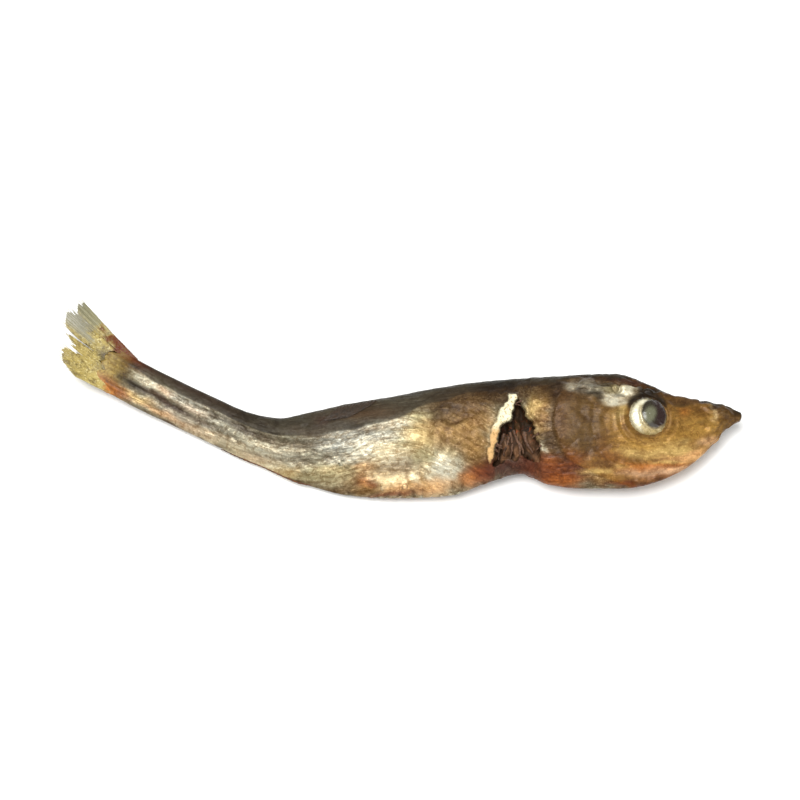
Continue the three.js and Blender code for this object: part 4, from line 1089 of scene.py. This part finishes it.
# ---- growing rays, plates and scales with nodes

def geometryTree(name, inputs):
    tree = bpy.data.node_groups.new(name, "GeometryNodeTree")
    tree.interface.new_socket("Geometry", in_out="INPUT", socket_type="NodeSocketGeometry")
    for socketName, kind, value in inputs:
        socket = tree.interface.new_socket(socketName, in_out="INPUT", socket_type=kind)
        if value is not None:
            socket.default_value = value
    tree.interface.new_socket("Geometry", in_out="OUTPUT", socket_type="NodeSocketGeometry")
    return tree, tree.nodes.new("NodeGroupInput").outputs, tree.nodes.new("NodeGroupOutput").inputs


def named(tree, attribute, kind="FLOAT"):
    return put(tree, "GeometryNodeInputNamedAttribute", {"Name": attribute}, data_type=kind).outputs["Attribute"]


def finishTree(tree, geometry, material, result):
    smoothed = put(tree, "GeometryNodeSetShadeSmooth", {"Geometry": geometry}).outputs[0]
    real = put(tree, "GeometryNodeRealizeInstances", {"Geometry": smoothed}).outputs[0]
    painted = put(tree, "GeometryNodeSetMaterial", {"Geometry": real, "Material": material}).outputs[0]
    feed(tree, result["Geometry"], painted)


def makeRayTree():
    # paths become thin, slightly crooked rods that taper towards their tips
    tree, given, result = geometryTree("bonyRays", [
        ("Radius", floatSocket, 0.0001), ("Taper", floatSocket, 0.7), ("Crooked", floatSocket, 0.0),
        ("Joints", floatSocket, 9.0), ("Steps", "NodeSocketInt", 12), ("Seed", "NodeSocketInt", 1),
        ("Material", "NodeSocketMaterial", None),
    ])
    paths = put(tree, "GeometryNodeMeshToCurve", {0: given["Geometry"]}).outputs[0]
    paths = put(tree, "GeometryNodeResampleCurve", {"Curve": paths, "Count": given["Steps"]}).outputs[0]
    factor = put(tree, "GeometryNodeSplineParameter").outputs["Factor"]
    chance = put(tree, "FunctionNodeRandomValue", {"Seed": given["Seed"]}, data_type="FLOAT_VECTOR")
    for place in (0, 1):
        chance.inputs[place].default_value = ((-1, -1, -1), (1, 1, 1))[place]
    bend = put(tree, "ShaderNodeVectorMath", {0: chance.outputs[0], 3: given["Crooked"]}, operation="SCALE").outputs[0]
    paths = put(tree, "GeometryNodeSetPosition", {"Geometry": paths, "Offset": bend}).outputs[0]
    paths = put(tree, "GeometryNodeStoreNamedAttribute", {"Geometry": paths, "Name": "reach", "Value": factor},
                data_type="FLOAT", domain="POINT").outputs[0]
    narrowed = calc(tree, "MULTIPLY_ADD", calc(tree, "MULTIPLY", factor, given["Taper"]), -1.0, 1.0)
    knuckle = calc(tree, "SINE", calc(tree, "MULTIPLY", factor, calc(tree, "MULTIPLY", given["Joints"], 2 * math.pi)))
    wide = calc(tree, "MULTIPLY", narrowed, calc(tree, "MULTIPLY_ADD", knuckle, 0.13, 1.0))
    wide = calc(tree, "MULTIPLY", wide, calc(tree, "MULTIPLY", given["Radius"], named(tree, "stout")))
    circle = put(tree, "GeometryNodeCurvePrimitiveCircle", {"Resolution": 6}).outputs[0]
    circle.node.inputs["Radius"].default_value = 1.0
    rods = put(tree, "GeometryNodeCurveToMesh", {"Curve": paths, "Profile Curve": circle, "Scale": wide, "Fill Caps": True})
    finishTree(tree, rods.outputs[0], given["Material"], result)
    return tree


def makePlateTree():
    # thin plates on points, turned to lie along the body and tilted a little
    tree, given, result = geometryTree("skinPlates", [
        ("Sides", "NodeSocketInt", 8), ("Thickness", floatSocket, 0.1), ("Rim", floatSocket, 0.8),
        ("Narrow", floatSocket, 0.8), ("Tilt", floatSocket, 0.1), ("Seed", "NodeSocketInt", 1),
        ("Material", "NodeSocketMaterial", None),
    ])
    plate = put(tree, "GeometryNodeMeshCone", {
        "Vertices": given["Sides"], "Radius Top": given["Rim"], "Radius Bottom": 1.0, "Depth": given["Thickness"],
    }).outputs[0]
    shape = vectorOf(tree, 1.0, given["Narrow"], 1.0)
    plate = put(tree, "GeometryNodeTransform", {"Geometry": plate, "Scale": shape}).outputs[0]
    facing = put(tree, "FunctionNodeAlignRotationToVector", {"Vector": named(tree, "facing", "FLOAT_VECTOR")}, axis="Z")
    along = put(tree, "FunctionNodeAlignRotationToVector", {
        "Rotation": facing.outputs[0], "Vector": named(tree, "tailward", "FLOAT_VECTOR"),
    }, axis="X", pivot_axis="Z").outputs[0]
    chance = put(tree, "FunctionNodeRandomValue", {"Seed": given["Seed"]}, data_type="FLOAT_VECTOR")
    for place in (0, 1):
        chance.inputs[place].default_value = ((-1, -1.6, -1), (1, 0.2, 1))[place]
    lean = put(tree, "ShaderNodeVectorMath", {0: chance.outputs[0], 3: given["Tilt"]}, operation="SCALE").outputs[0]
    turn = put(tree, "FunctionNodeEulerToRotation", {0: lean}).outputs[0]
    turned = put(tree, "FunctionNodeRotateRotation", {"Rotation": along, "Rotate By": turn}, rotation_space="LOCAL").outputs[0]
    size = named(tree, "size")
    placedPlates = put(tree, "GeometryNodeInstanceOnPoints", {
        "Points": put(tree, "GeometryNodeMeshToPoints", {0: given["Geometry"]}).outputs[0],
        "Instance": plate, "Rotation": turned, "Scale": vectorOf(tree, size, size, size),
    }).outputs[0]
    finishTree(tree, placedPlates, given["Material"], result)
    return tree


rayTree, plateTree = makeRayTree(), makePlateTree()


def growPiece(name, source, tree, values):
    # runs a tree over the source mesh and keeps the plain result
    piece = bpy.data.objects.new(name, source)
    bpy.context.scene.collection.objects.link(piece)
    modifier = piece.modifiers.new(name, "NODES")
    modifier.node_group = tree
    for item in tree.interface.items_tree:
        if item.in_out == "INPUT" and item.name in values:
            modifier[item.identifier] = values[item.name]
    ready = piece.evaluated_get(bpy.context.evaluated_depsgraph_get())
    mesh = bpy.data.meshes.new_from_object(ready)
    piece.modifiers.remove(modifier)
    mesh.name = name
    for vertex in mesh.vertices:
        vertex.co.z = max(vertex.co.z, 0.01 * mm)
    piece.data = mesh
    bpy.data.meshes.remove(source)
    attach(piece, "root")
    print("sprat:", name, "has", len(mesh.polygons), "faces")
    return piece


def pathMesh(name, paths):
    # each path is its points in millimetres and a fact dictionary with one value for the whole path
    points, edges, facts = [], [], {}
    for path, values in paths:
        first = len(points)
        points += [tuple(point) for point in np.asarray(path) * mm]
        edges += [(first + i, first + i + 1) for i in range(len(path) - 1)]
        for key, value in values.items():
            facts.setdefault(key, []).extend([value] * len(path))
    mesh = bpy.data.meshes.new(name + "Paths")
    mesh.from_pydata(points, edges, [])
    for key, values in facts.items():
        mesh.attributes.new(key, "FLOAT", "POINT").data.foreach_set("value", values)
    return mesh


# ---- fins

finColours = {
    "olive": tint(168, 150, 88), "oliveDark": tint(104, 88, 50), "oliveLight": tint(216, 204, 150),
    "lobe": tint(156, 152, 130), "lobeDark": tint(132, 128, 100), "orange": tint(172, 106, 44), "rust": tint(92, 42, 14),
    "spot": tint(62, 52, 38), "brown": tint(56, 43, 31), "brownDark": tint(42, 34, 25), "ray": tint(150, 124, 74),
}

tailForm = {
    # heading in degrees and length of the rays, from the lowest to the highest
    "rays": ((20, 6.0), (26, 8.9), (30, 9.9), (33, 9.2), (35.5, 10.2), (39, 12.0), (43, 12.8), (43, 11.2), (48, 12.6)),
    "rootAt": 92.0, "sunk": 1.5, "halfWidth": 2.9, "lift": 2.0, "skin": 0.13,
    "columns": 121, "rows": 46, "bones": 21, "boneRadius": 0.15, "wave": 0.36,
}


def tailPoint(share, reach, proud=0.0):
    # a place on the tail fin: share from its lower to its upper edge, reach from root to tip
    f = tailForm
    marks = np.linspace(0, 1, len(f["rays"]))
    heading = np.radians(np.interp(share, marks, [ray[0] for ray in f["rays"]]))
    length = np.interp(share, marks, [ray[1] for ray in f["rays"]])
    across = (share * 2 - 1) * f["halfWidth"]
    root, tipRoot = placed(f["rootAt"] - f["sunk"], across, 0), placed(f["rootAt"], across, 0)
    tip = tipRoot + np.stack([-np.cos(heading) * length, np.sin(heading) * length, 0 * heading], -1)
    point = root + (tip - root) * reach[..., None]
    fold = np.sin(share * 17.0 + reach * 1.3) * 0.55 + np.sin(share * 8.3 + 1.9 - reach * 2.1)
    wave = f["wave"] * fold * smooth(0.15, 1.0, reach)
    point[..., 2] += f["lift"] * reach ** 2 + wave + proud
    return point


def tailLength(share):
    # how far the ragged skin reaches towards the ray's tip
    place = np.stack([share * 30, 0 * share, 0 * share], -1)
    tear = np.clip(grain(place * 0.9, 1.0, 81, 2), 0, 1) * 0.2
    split = 0.3 * hump(share, 0.36, 0.012) + 0.4 * hump(share, 0.55, 0.014) + 0.35 * hump(share, 0.83, 0.014)
    return 0.97 - tear - split


def thinShell(points, thickness, normals):
    # a closed sheet: the grid of points on both sides of itself, joined round its edge
    rows, columns = points.shape[:2]
    ring = np.concatenate([points + normals * thickness / 2, (points - normals * thickness / 2)[:, ::-1]], 1)
    around = 2 * columns
    faces = gridFaces(rows, around)
    for row, turned in ((0, False), (rows - 1, True)):
        for column in range(columns - 1):
            face = [row * around + column, row * around + column + 1,
                    row * around + around - 2 - column, row * around + around - 1 - column]
            faces.append(face[::-1] if turned else face)
    return ring, faces


def sheetNormals(points):
    normals = np.cross(np.gradient(points, axis=0), np.gradient(points, axis=1))
    return normals / np.maximum(1e-9, np.linalg.norm(normals, axis=-1, keepdims=True))


def shellPiece(name, points, thickness, facts, material):
    normals = sheetNormals(points)
    ring, faces = thinShell(points, thickness, normals)
    ring[..., 2] = np.maximum(ring[..., 2], 0.01)
    attributes = {key: np.concatenate([values, values[:, ::-1]], 1).ravel() for key, values in facts.items()}
    mesh = makeMesh(name, ring.reshape(-1, 3), faces, attributes)
    return makePiece(name, mesh, material)


def buildTailFin(material):
    f = tailForm
    share, step = np.meshgrid(np.linspace(1, 0, f["columns"]), np.linspace(0, 1, f["rows"]), indexing="xy")
    reach = step * tailLength(share)
    place = np.stack([share * 6, reach * 8, 0 * reach], -1)
    between = 0.5 + 0.5 * np.cos(share * (f["bones"] - 1) * 2 * math.pi)
    proud = -0.12 * (1 - between) * smooth(0.45, 0.65, reach) + 0.08 * grain(place, 0.8, 82, 2) * smooth(0.1, 0.4, reach)
    points = tailPoint(share, reach, proud)
    shellPiece("tailSkin", points, f["skin"], {"share": share, "reach": reach, "between": between}, material)
    paths = []
    for bone in range(f["bones"]):
        at = bone / (f["bones"] - 1)
        at = at + 0.35 / f["bones"] * float(grain(np.array([bone * 1.7, 0.3, 0.1]), 1.0, 83))
        at = min(1.0, max(0.0, at))
        end = float(min(1.02, tailLength(np.array(at)) + 0.06 + 0.05 * grain(np.array([bone * 2.3, 0.7, 0.2]), 1.0, 84)))
        for fork in (-1, 1):
            reach = np.linspace(0.08, end, 14)
            spreadAt = np.clip(at + fork * 0.011 * smooth(0.35, 1.0, reach), 0, 1)
            paths.append((tailPoint(spreadAt, reach, 0.05 - 0.15 * smooth(0.65, 0.5, reach)), {"stout": 1.0 if fork > 0 else 0.9, "share": at}))
    values = {"Radius": f["boneRadius"] * mm, "Taper": 0.72, "Crooked": 0.03 * mm, "Joints": 13.0, "Steps": 26,
              "Seed": 5, "Material": material}
    growPiece("tailRays", pathMesh("tailRays", paths), rayTree, values)


smallFins = {
    # root from and to, along and up as a share of back or belly; how far the tips lie tailwards and how far up or down
    "dorsal": {"from": 52.5, "to": 58.2, "root": 0.93, "tip": 0.62, "lean": (4.6, 2.8), "rays": 12, "flank": 1, "tone": 0.0, "proud": 0.02},
    "anal": {"from": 61.5, "to": 73.0, "root": -0.93, "tip": -1.04, "lean": (2.4, 1.6), "rays": 17, "flank": 0, "tone": 0.2,
             "proud": 1.0},
    "pelvicLower": {"from": 46.2, "to": 47.4, "root": -0.93, "tip": -0.86, "lean": (4.2, 3.2), "rays": 6, "flank": -1, "tone": 0.6,
                    "proud": 1.0},
    "pectoralLower": {"from": 26.0, "to": 26.4, "root": -0.74, "tip": -0.88, "lean": (5.4, 3.6), "rays": 8, "flank": -1, "tone": 0.5,
                      "proud": 1.0},
}


def finPoint(fin, share, reach, proud):
    # a place on a small fin that lies against the skin: share along its root, reach towards its tips
    at = fin["from"] + (fin["to"] - fin["from"]) * share
    lean = fin["lean"][0] + (fin["lean"][1] - fin["lean"][0]) * share
    at = at + lean * reach
    splay = fin["tip"] if fin["rays"] > 8 else fin["tip"] + (share - 0.5) * 0.24
    part = fin["root"] + (splay - fin["root"]) * reach ** 0.8
    reachOut = reachOf(at, part)
    up = part * reachOut
    out = flankAt(at, np.clip(up, -0.999 * reachOut, 0.999 * reachOut)) + proud if fin["flank"] else proud * (1 - 2 * share)
    point = placed(at, up, (fin["flank"] or 1) * out)
    point[..., 2] = np.maximum(point[..., 2], fishForm["table"] + 0.12)
    return point


def buildSmallFins(material):
    paths = []
    for name, fin in smallFins.items():
        columns, rows = fin["rays"] * 4, 16
        share, step = np.meshgrid(np.linspace(0, 1, columns), np.linspace(0, 1, rows), indexing="xy")
        place = np.stack([share * 5, fin["from"] + 0 * share, 0 * share], -1)
        reach = step * (0.86 - 0.22 * np.clip(grain(place, 0.6, 85, 2), 0, 1))
        wobble = 0.1 * grain(np.stack([share * 6, reach * 3, fin["from"] + 0 * share], -1), 1.0, 86, 2)
        points = finPoint(fin, share, reach, fin["proud"] * (0.1 + 0.16 * reach) + wobble * reach)
        if fin["flank"] >= 0:
            points = points[:, ::-1]
        between = 0.5 + 0.5 * np.cos(share * (fin["rays"] - 1) * 2 * math.pi)
        facts = {"share": 0 * share + fin["tone"], "reach": reach, "between": between}
        shellPiece(name + "Skin", points, 0.11, facts, material)
        for ray in range(fin["rays"]):
            at = ray / (fin["rays"] - 1)
            end = 0.97 + 0.08 * float(grain(np.array([ray * 1.9, fin["from"], 0.2]), 1.0, 87))
            reach = np.linspace(0.0, end, 9)
            wobble = 0.1 * grain(np.stack([at * 6 + 0 * reach, reach * 3, fin["from"] + 0 * reach], -1), 1.0, 86, 2)
            path = finPoint(fin, at + 0 * reach, reach, fin["proud"] * (0.13 + 0.16 * reach) + wobble * reach)
            paths.append((path, {"stout": 1.0 + 0.2 * (ray == 0), "share": fin["tone"]}))
    values = {"Radius": 0.12 * mm, "Taper": 0.6, "Crooked": 0.03 * mm, "Joints": 6.0, "Steps": 14, "Seed": 9,
              "Material": material}
    growPiece("finRays", pathMesh("finRays", paths), rayTree, values)


def makeTailMaterial(name, boneTone):
    # translucent dried skin between rays: rust at the root, olive beyond, grey in the upper lobe
    c = finColours
    material, tree, shader = newMaterial(name)
    share, reach = fact(tree, "share"), fact(tree, "reach")
    space = millimetres(tree)
    patches = noise(tree, space, 0.7, 5.0, 0.6, 0.5)
    specks = noise(tree, space, 3.2, 3.0, 0.6)
    moved = calc(tree, "MULTIPLY_ADD", calc(tree, "SUBTRACT", patches, 0.5), 0.7, reach)
    colour = useGroup(tree, mottleGroup, {
        "Vector": space, "Scale": 1.4, "Amount": 0.8, "Colour": c["olive"], "Dark": c["oliveDark"], "Light": c["oliveLight"],
    })["Colour"]
    lobe = calc(tree, "MULTIPLY", spread(tree, share, 0.56, 0.68), spread(tree, share, 0.9, 0.82))
    lobe = calc(tree, "MULTIPLY", lobe, spread(tree, moved, 0.5, 0.76))
    colour = blend(tree, lobe, colour, c["lobe"])
    upperTip = calc(tree, "MULTIPLY", spread(tree, share, 0.8, 0.92), spread(tree, moved, 0.45, 0.8))
    colour = blend(tree, upperTip, colour, c["lobeDark"])
    middle = calc(tree, "MULTIPLY", spread(tree, share, 0.25, 0.45), spread(tree, share, 0.8, 0.6))
    spot = calc(tree, "MULTIPLY", middle, calc(tree, "MULTIPLY", spread(tree, moved, 0.2, 0.3), spread(tree, moved, 0.62, 0.4)))
    colour = blend(tree, calc(tree, "MULTIPLY", spot, 0.6), colour, c["spot"])
    rootTone = blend(tree, spread(tree, share, 0.18, 0.4), c["orange"], c["spot"])
    rootTone = blend(tree, spread(tree, share, 0.62, 0.8), rootTone, c["rust"])
    rootTone = blend(tree, spread(tree, specks, 0.45, 0.65, 0.0, 0.5), rootTone, c["oliveDark"])
    edgeReach = calc(tree, "MULTIPLY", spread(tree, share, 0.7, 0.95), 0.22)
    root = spread(tree, calc(tree, "SUBTRACT", moved, edgeReach), 0.44, 0.2)
    colour = blend(tree, root, colour, rootTone)
    if boneTone:
        colour = blend(tree, 0.4, colour, c["ray"])
    feed(tree, shader.inputs["Base Color"], colour)
    shader.inputs["Metallic"].default_value = 0.0
    feed(tree, shader.inputs["Roughness"], spread(tree, specks, 0.3, 0.7, 0.3, 0.55))
    shader.inputs["Specular IOR Level"].default_value = 0.2
    if not boneTone:
        clear = calc(tree, "MULTIPLY", calc(tree, "MAXIMUM", lobe, spread(tree, moved, 0.75, 1.05)), 0.32)
        feed(tree, shader.inputs["Alpha"], calc(tree, "SUBTRACT", 1.0, clear))
    crinkle = useGroup(tree, crinkleGroup, {"Vector": space, "Scale": 1.5, "Sharpness": 3.0})["Height"]
    bump = put(tree, "ShaderNodeBump", {"Strength": 0.6, "Distance": 0.00012, "Height": crinkle})
    feed(tree, shader.inputs["Normal"], bump.outputs[0])
    return material


def makeSmallFinMaterial():
    # brown where the fin lies on the back, golden olive below
    c = finColours
    material, tree, shader = newMaterial("driedFin")
    share, reach, space = fact(tree, "share"), fact(tree, "reach"), millimetres(tree)
    specks = noise(tree, space, 2.4, 4.0, 0.6)
    gold = useGroup(tree, mottleGroup, {
        "Vector": space, "Scale": 1.5, "Amount": 0.8, "Colour": c["olive"], "Dark": c["oliveDark"], "Light": c["oliveLight"],
    })["Colour"]
    brown = blend(tree, spread(tree, specks, 0.4, 0.65), c["brown"], c["brownDark"])
    rust = blend(tree, spread(tree, specks, 0.4, 0.65), c["rust"], c["orange"])
    colour = blend(tree, spread(tree, share, 0.0, 0.5), brown, rust)
    colour = blend(tree, spread(tree, share, 0.5, 1.0), colour, gold)
    colour = blend(tree, spread(tree, reach, 0.3, 0.0, 0.0, 0.7), colour, c["brown"])
    feed(tree, shader.inputs["Base Color"], colour)
    feed(tree, shader.inputs["Roughness"], spread(tree, specks, 0.3, 0.7, 0.34, 0.6))
    shader.inputs["Specular IOR Level"].default_value = 0.3
    crinkle = useGroup(tree, crinkleGroup, {"Vector": space, "Scale": 1.6, "Sharpness": 3.0})["Height"]
    bump = put(tree, "ShaderNodeBump", {"Strength": 0.6, "Distance": 0.0001, "Height": crinkle})
    feed(tree, shader.inputs["Normal"], bump.outputs[0])
    return material


print("sprat: fins")
buildTailFin(makeTailMaterial("tailSkin", False))
buildSmallFins(makeSmallFinMaterial())


# ---- what is left on and in the skin: keel plates, loose scales and shreds in the tear

plateForm = {
    "keelFrom": 25.5, "keelTo": 58.0, "keelStep": 1.35, "keelSize": 0.62,
    "scaleFrom": 42.0, "scaleTo": 84.0, "scaleSize": 0.6, "keep": 0.02,
}


def pointMesh(name, rows):
    # each row is a point, its outward and tailward directions, its size and its colour
    points, facings, tailwards, sizes, tones = (np.array(column, float) for column in zip(*rows))
    mesh = bpy.data.meshes.new(name + "Points")
    mesh.from_pydata((points * mm).tolist(), [], [])
    for key, values in (("facing", facings), ("tailward", tailwards)):
        mesh.attributes.new(key, "FLOAT_VECTOR", "POINT").data.foreach_set("vector", np.asarray(values, float).ravel())
    mesh.attributes.new("size", "FLOAT", "POINT").data.foreach_set("value", sizes * mm)
    paint = np.concatenate([tones, np.ones((len(tones), 1))], 1)
    mesh.attributes.new("tone", "FLOAT_COLOR", "POINT").data.foreach_set("color", paint.astype(np.float32).ravel())
    return mesh


def surfaceNear(at, across, flank):
    # the finished skin at a place: its point, its outward direction and the way towards the tail
    ring = int(np.clip(np.searchsorted(skinMarks, at), 1, len(skinMarks) - 2))
    gap = np.abs(skinFacts["across"][ring] - across) + 99 * (skinFacts["flank"][ring] != flank)
    spot = int(np.argmin(gap))
    return skinPoints[ring, spot], skinNormals[ring, spot], skinPoints[ring + 1, spot] - skinPoints[ring - 1, spot], ring, spot


def chanceOf(*numbers):
    # an even random value from 0 to 1 that depends only on the numbers given
    total = sum(number * factor for number, factor in zip(numbers, (12.9898, 78.233, 37.719, 9.151)))
    return abs(math.sin(total) * 43758.5453) % 1.0


def buildKeelPlates(material):
    f = plateForm
    rows = []
    at = f["keelFrom"]
    while at < f["keelTo"]:
        ring = int(np.searchsorted(skinMarks, at))
        spot = int(np.argmin(np.abs(skinAngles - math.pi)))
        point, normal = skinPoints[ring, spot], skinNormals[ring, spot]
        size = f["keelSize"] * (0.8 + 0.4 * chanceOf(at)) * float(smooth(24, 30, at) * smooth(60, 52, at))
        tailward = skinPoints[ring + 3, spot] - skinPoints[ring - 3, spot]
        rows.append((point - normal * 0.1, normal, tailward, size, skinPaint[0][ring, spot]))
        at += f["keelStep"] * (0.92 + 0.16 * chanceOf(at, 2.0))
    values = {"Sides": 8, "Thickness": 0.22, "Rim": 0.45, "Narrow": 0.55, "Tilt": 0.2, "Seed": 3, "Material": material}
    growPiece("keelPlates", pointMesh("keelPlates", rows), plateTree, values)


def buildLooseScales(material):
    f = plateForm
    rows = []
    for row in range(-9, 10):
        at = f["scaleFrom"]
        column = 0
        while at < f["scaleTo"]:
            for flank in (1, -1):
                across = (row + 0.5) * scaleForm["width"] * 0.8
                luck = chanceOf(row, column, flank)
                place = np.array([at / 7.0, across / 3.0, flank * 4.0])
                patch = float(grain(place, 1.0, 91, 2))
                point, normal, tailward, ring, spot = surfaceNear(at, across, flank)
                reachHere = np.abs(skinFacts["across"][ring, skinFacts["flank"][ring] == flank]).max()
                clear = skinFacts["torn"][ring, spot] < 0.02 and skinFacts["flap"][ring, spot] < 0.1
                clear = clear and skinFacts["back"][ring, spot] < 0.3
                if abs(across) < reachHere * 0.8 and clear and point[2] > 0.5 and luck < f["keep"] + 0.16 * patch:
                    size = f["scaleSize"] * (0.7 + 0.6 * chanceOf(column, row, 5.0)) * float(smooth(100, 60, at) * 0.4 + 0.6)
                    rows.append((point - normal * 0.07 * size, normal, tailward, size, skinPaint[0][ring, spot]))
            at += scaleForm["length"] * (0.95 + 0.1 * chanceOf(row, at))
            column += 1
    values = {"Sides": 9, "Thickness": 0.05, "Rim": 0.3, "Narrow": 0.85, "Tilt": 0.09, "Seed": 8, "Material": material}
    growPiece("looseScales", pointMesh("looseScales", rows), plateTree, values)


def buildShreds(material):
    # thin rib bones across the tear and torn threads of skin along its edges
    paths = []
    t = tearForm
    for rib in range(6):
        at = 31.3 + rib * 0.62 + 0.4 * chanceOf(rib)
        top = 0.8 - 0.4 * abs(rib - 2.5) - 1.6 * chanceOf(rib, 1.0)
        reach = np.linspace(0, 1, 10)
        up = top + (-4.6 + 1.2 * chanceOf(rib, 2.0) - top) * reach
        lean = at + (at - 33.0) * 0.5 * reach + 0.25 * np.sin(reach * 4.0 + rib)
        out = flankAt(lean, up) - t["depth"] * 0.86 + 0.9 * reach ** 1.5 * chanceOf(rib, 3.0)
        paths.append((placed(lean, up, np.maximum(out, -flankAt(lean, up) + 1.0)), {"stout": 1.4 + 1.2 * chanceOf(rib, 4.0)}))
    for thread in range(9):
        up = -3.2 + 7.0 * chanceOf(thread, 6.0)
        risen = np.clip((up - t["waistUp"]) / (t["apexUp"] - t["waistUp"]), 0, 1) ** t["point"]
        rear = thread % 3 > 0
        edgeAt = t["apexAt"] + ((t["rearAt"] if rear else t["frontAt"]) - t["apexAt"]) * (1 - risen)
        way = -1 if rear else 1
        reach = np.linspace(0, 1, 8)
        long = 0.7 + 0.9 * chanceOf(thread, 7.0)
        at = edgeAt + way * (long * reach - 0.25)
        high = up - 0.5 * reach * (chanceOf(thread, 8.0) + 0.3)
        out = flankAt(at, high) + 0.15 - 1.3 * reach ** 1.5 * chanceOf(thread, 9.0)
        paths.append((placed(at, high, out), {"stout": 0.8 + 0.9 * chanceOf(thread, 10.0)}))
    values = {"Radius": 0.17 * mm, "Taper": 0.5, "Crooked": 0.07 * mm, "Joints": 2.0, "Steps": 16, "Seed": 4,
              "Material": material}
    growPiece("tearShreds", pathMesh("tearShreds", paths), rayTree, values)


def makeScrapMaterial(name, own, lighter, metal, rough):
    # plates and scales take the skin's colour under them, shreds have a colour of their own
    material, tree, shader = newMaterial(name)
    space = millimetres(tree)
    tone = own or put(tree, "ShaderNodeAttribute", attribute_name="tone").outputs["Color"]
    # on the keel plates and loose scales the lighter flecks are painted glints of their silver
    light = blend(tree, 1.0, tone, (lighter, lighter, lighter, 1), "MULTIPLY")
    dark = blend(tree, 1.0, tone, (0.4, 0.32, 0.24, 1), "MULTIPLY")
    mixed = useGroup(tree, mottleGroup, {
        "Vector": space, "Scale": 1.3, "Amount": 0.9, "Colour": tone, "Dark": dark, "Light": light,
    })
    feed(tree, shader.inputs["Base Color"], mixed["Colour"])
    shader.inputs["Metallic"].default_value = metal
    feed(tree, shader.inputs["Roughness"], spread(tree, mixed["Mask"], 0.3, 0.7, rough - 0.08, rough + 0.12))
    shader.inputs["Specular IOR Level"].default_value = 0.35
    crinkle = useGroup(tree, crinkleGroup, {"Vector": space, "Scale": 1.8, "Sharpness": 3.5})["Height"]
    bump = put(tree, "ShaderNodeBump", {"Strength": 0.6, "Distance": 0.0001, "Height": crinkle})
    feed(tree, shader.inputs["Normal"], bump.outputs[0])
    return material


print("sprat: keel plates, scales and shreds")
skinNormals = gridNormals(skinPoints)
plateMaterial = makeScrapMaterial("looseScale", None, 1.25, 0.4, 0.4)
buildKeelPlates(plateMaterial)
buildLooseScales(plateMaterial)
buildShreds(makeScrapMaterial("tornShred", tint(88, 62, 44), 1.7, 0.0, 0.55))


# ---- floor, light and camera

stageForm = {
    "floorSize": 3.0, "floorColour": tint(246, 246, 244),
    "worldLight": 0.34,
    "keyPlace": (-0.14, 0.0, 0.66), "keySize": 0.42, "keyPower": 6.2,
    "fillPlace": (0.35, -0.5, 0.45), "fillSize": 0.6, "fillPower": 2.2,
    "elevation": 70.0, "lens": 135.0, "sensor": 36.0, "frameWidth": 0.116, "aim": (0.0, 0.0, 0.004),
}


def areaLight(name, place, size, power):
    light = bpy.data.lights.new(name, "AREA")
    light.shape = "SQUARE"
    light.size = size
    light.energy = power
    lamp = bpy.data.objects.new(name, light)
    lamp.location = place
    lamp.rotation_euler = (Vector(stageForm["aim"]) - Vector(place)).to_track_quat("-Z", "Y").to_euler()
    bpy.context.scene.collection.objects.link(lamp)


def buildStage():
    f = stageForm
    half = f["floorSize"] / 2
    mesh = bpy.data.meshes.new("floor")
    mesh.from_pydata([(-half, -half, 0), (half, -half, 0), (half, half, 0), (-half, half, 0)], [], [(0, 1, 2, 3)])
    material, tree, shader = newMaterial("paleFloor")
    shader.inputs["Base Color"].default_value = f["floorColour"]
    shader.inputs["Roughness"].default_value = 0.7
    mesh.materials.append(material)
    floor = bpy.data.objects.new("floor", mesh)
    bpy.context.scene.collection.objects.link(floor)

    world = bpy.data.worlds.new("softStudio")
    world.use_nodes = True
    bpy.context.scene.world = world
    background = world.node_tree.nodes["Background"]
    background.inputs["Color"].default_value = (1, 1, 1, 1)
    background.inputs["Strength"].default_value = f["worldLight"]
    areaLight("key", f["keyPlace"], f["keySize"], f["keyPower"])
    areaLight("fill", f["fillPlace"], f["fillSize"], f["fillPower"])

    camera = bpy.data.cameras.new("camera")
    camera.lens, camera.sensor_width = f["lens"], f["sensor"]
    camera.clip_start, camera.clip_end = 0.01, 10
    viewer = bpy.data.objects.new("camera", camera)
    tilt = math.radians(f["elevation"])
    back = Vector((0, -math.cos(tilt), math.sin(tilt)))
    distance = f["frameWidth"] / 2 / (f["sensor"] / 2 / f["lens"])
    viewer.location = Vector(f["aim"]) + back * distance
    viewer.rotation_euler = (-back).to_track_quat("-Z", "Y").to_euler()
    bpy.context.scene.collection.objects.link(viewer)
    bpy.context.scene.camera = viewer
    bpy.context.scene.view_settings.view_transform = "Standard"


print("sprat: floor, light and camera")
buildStage()
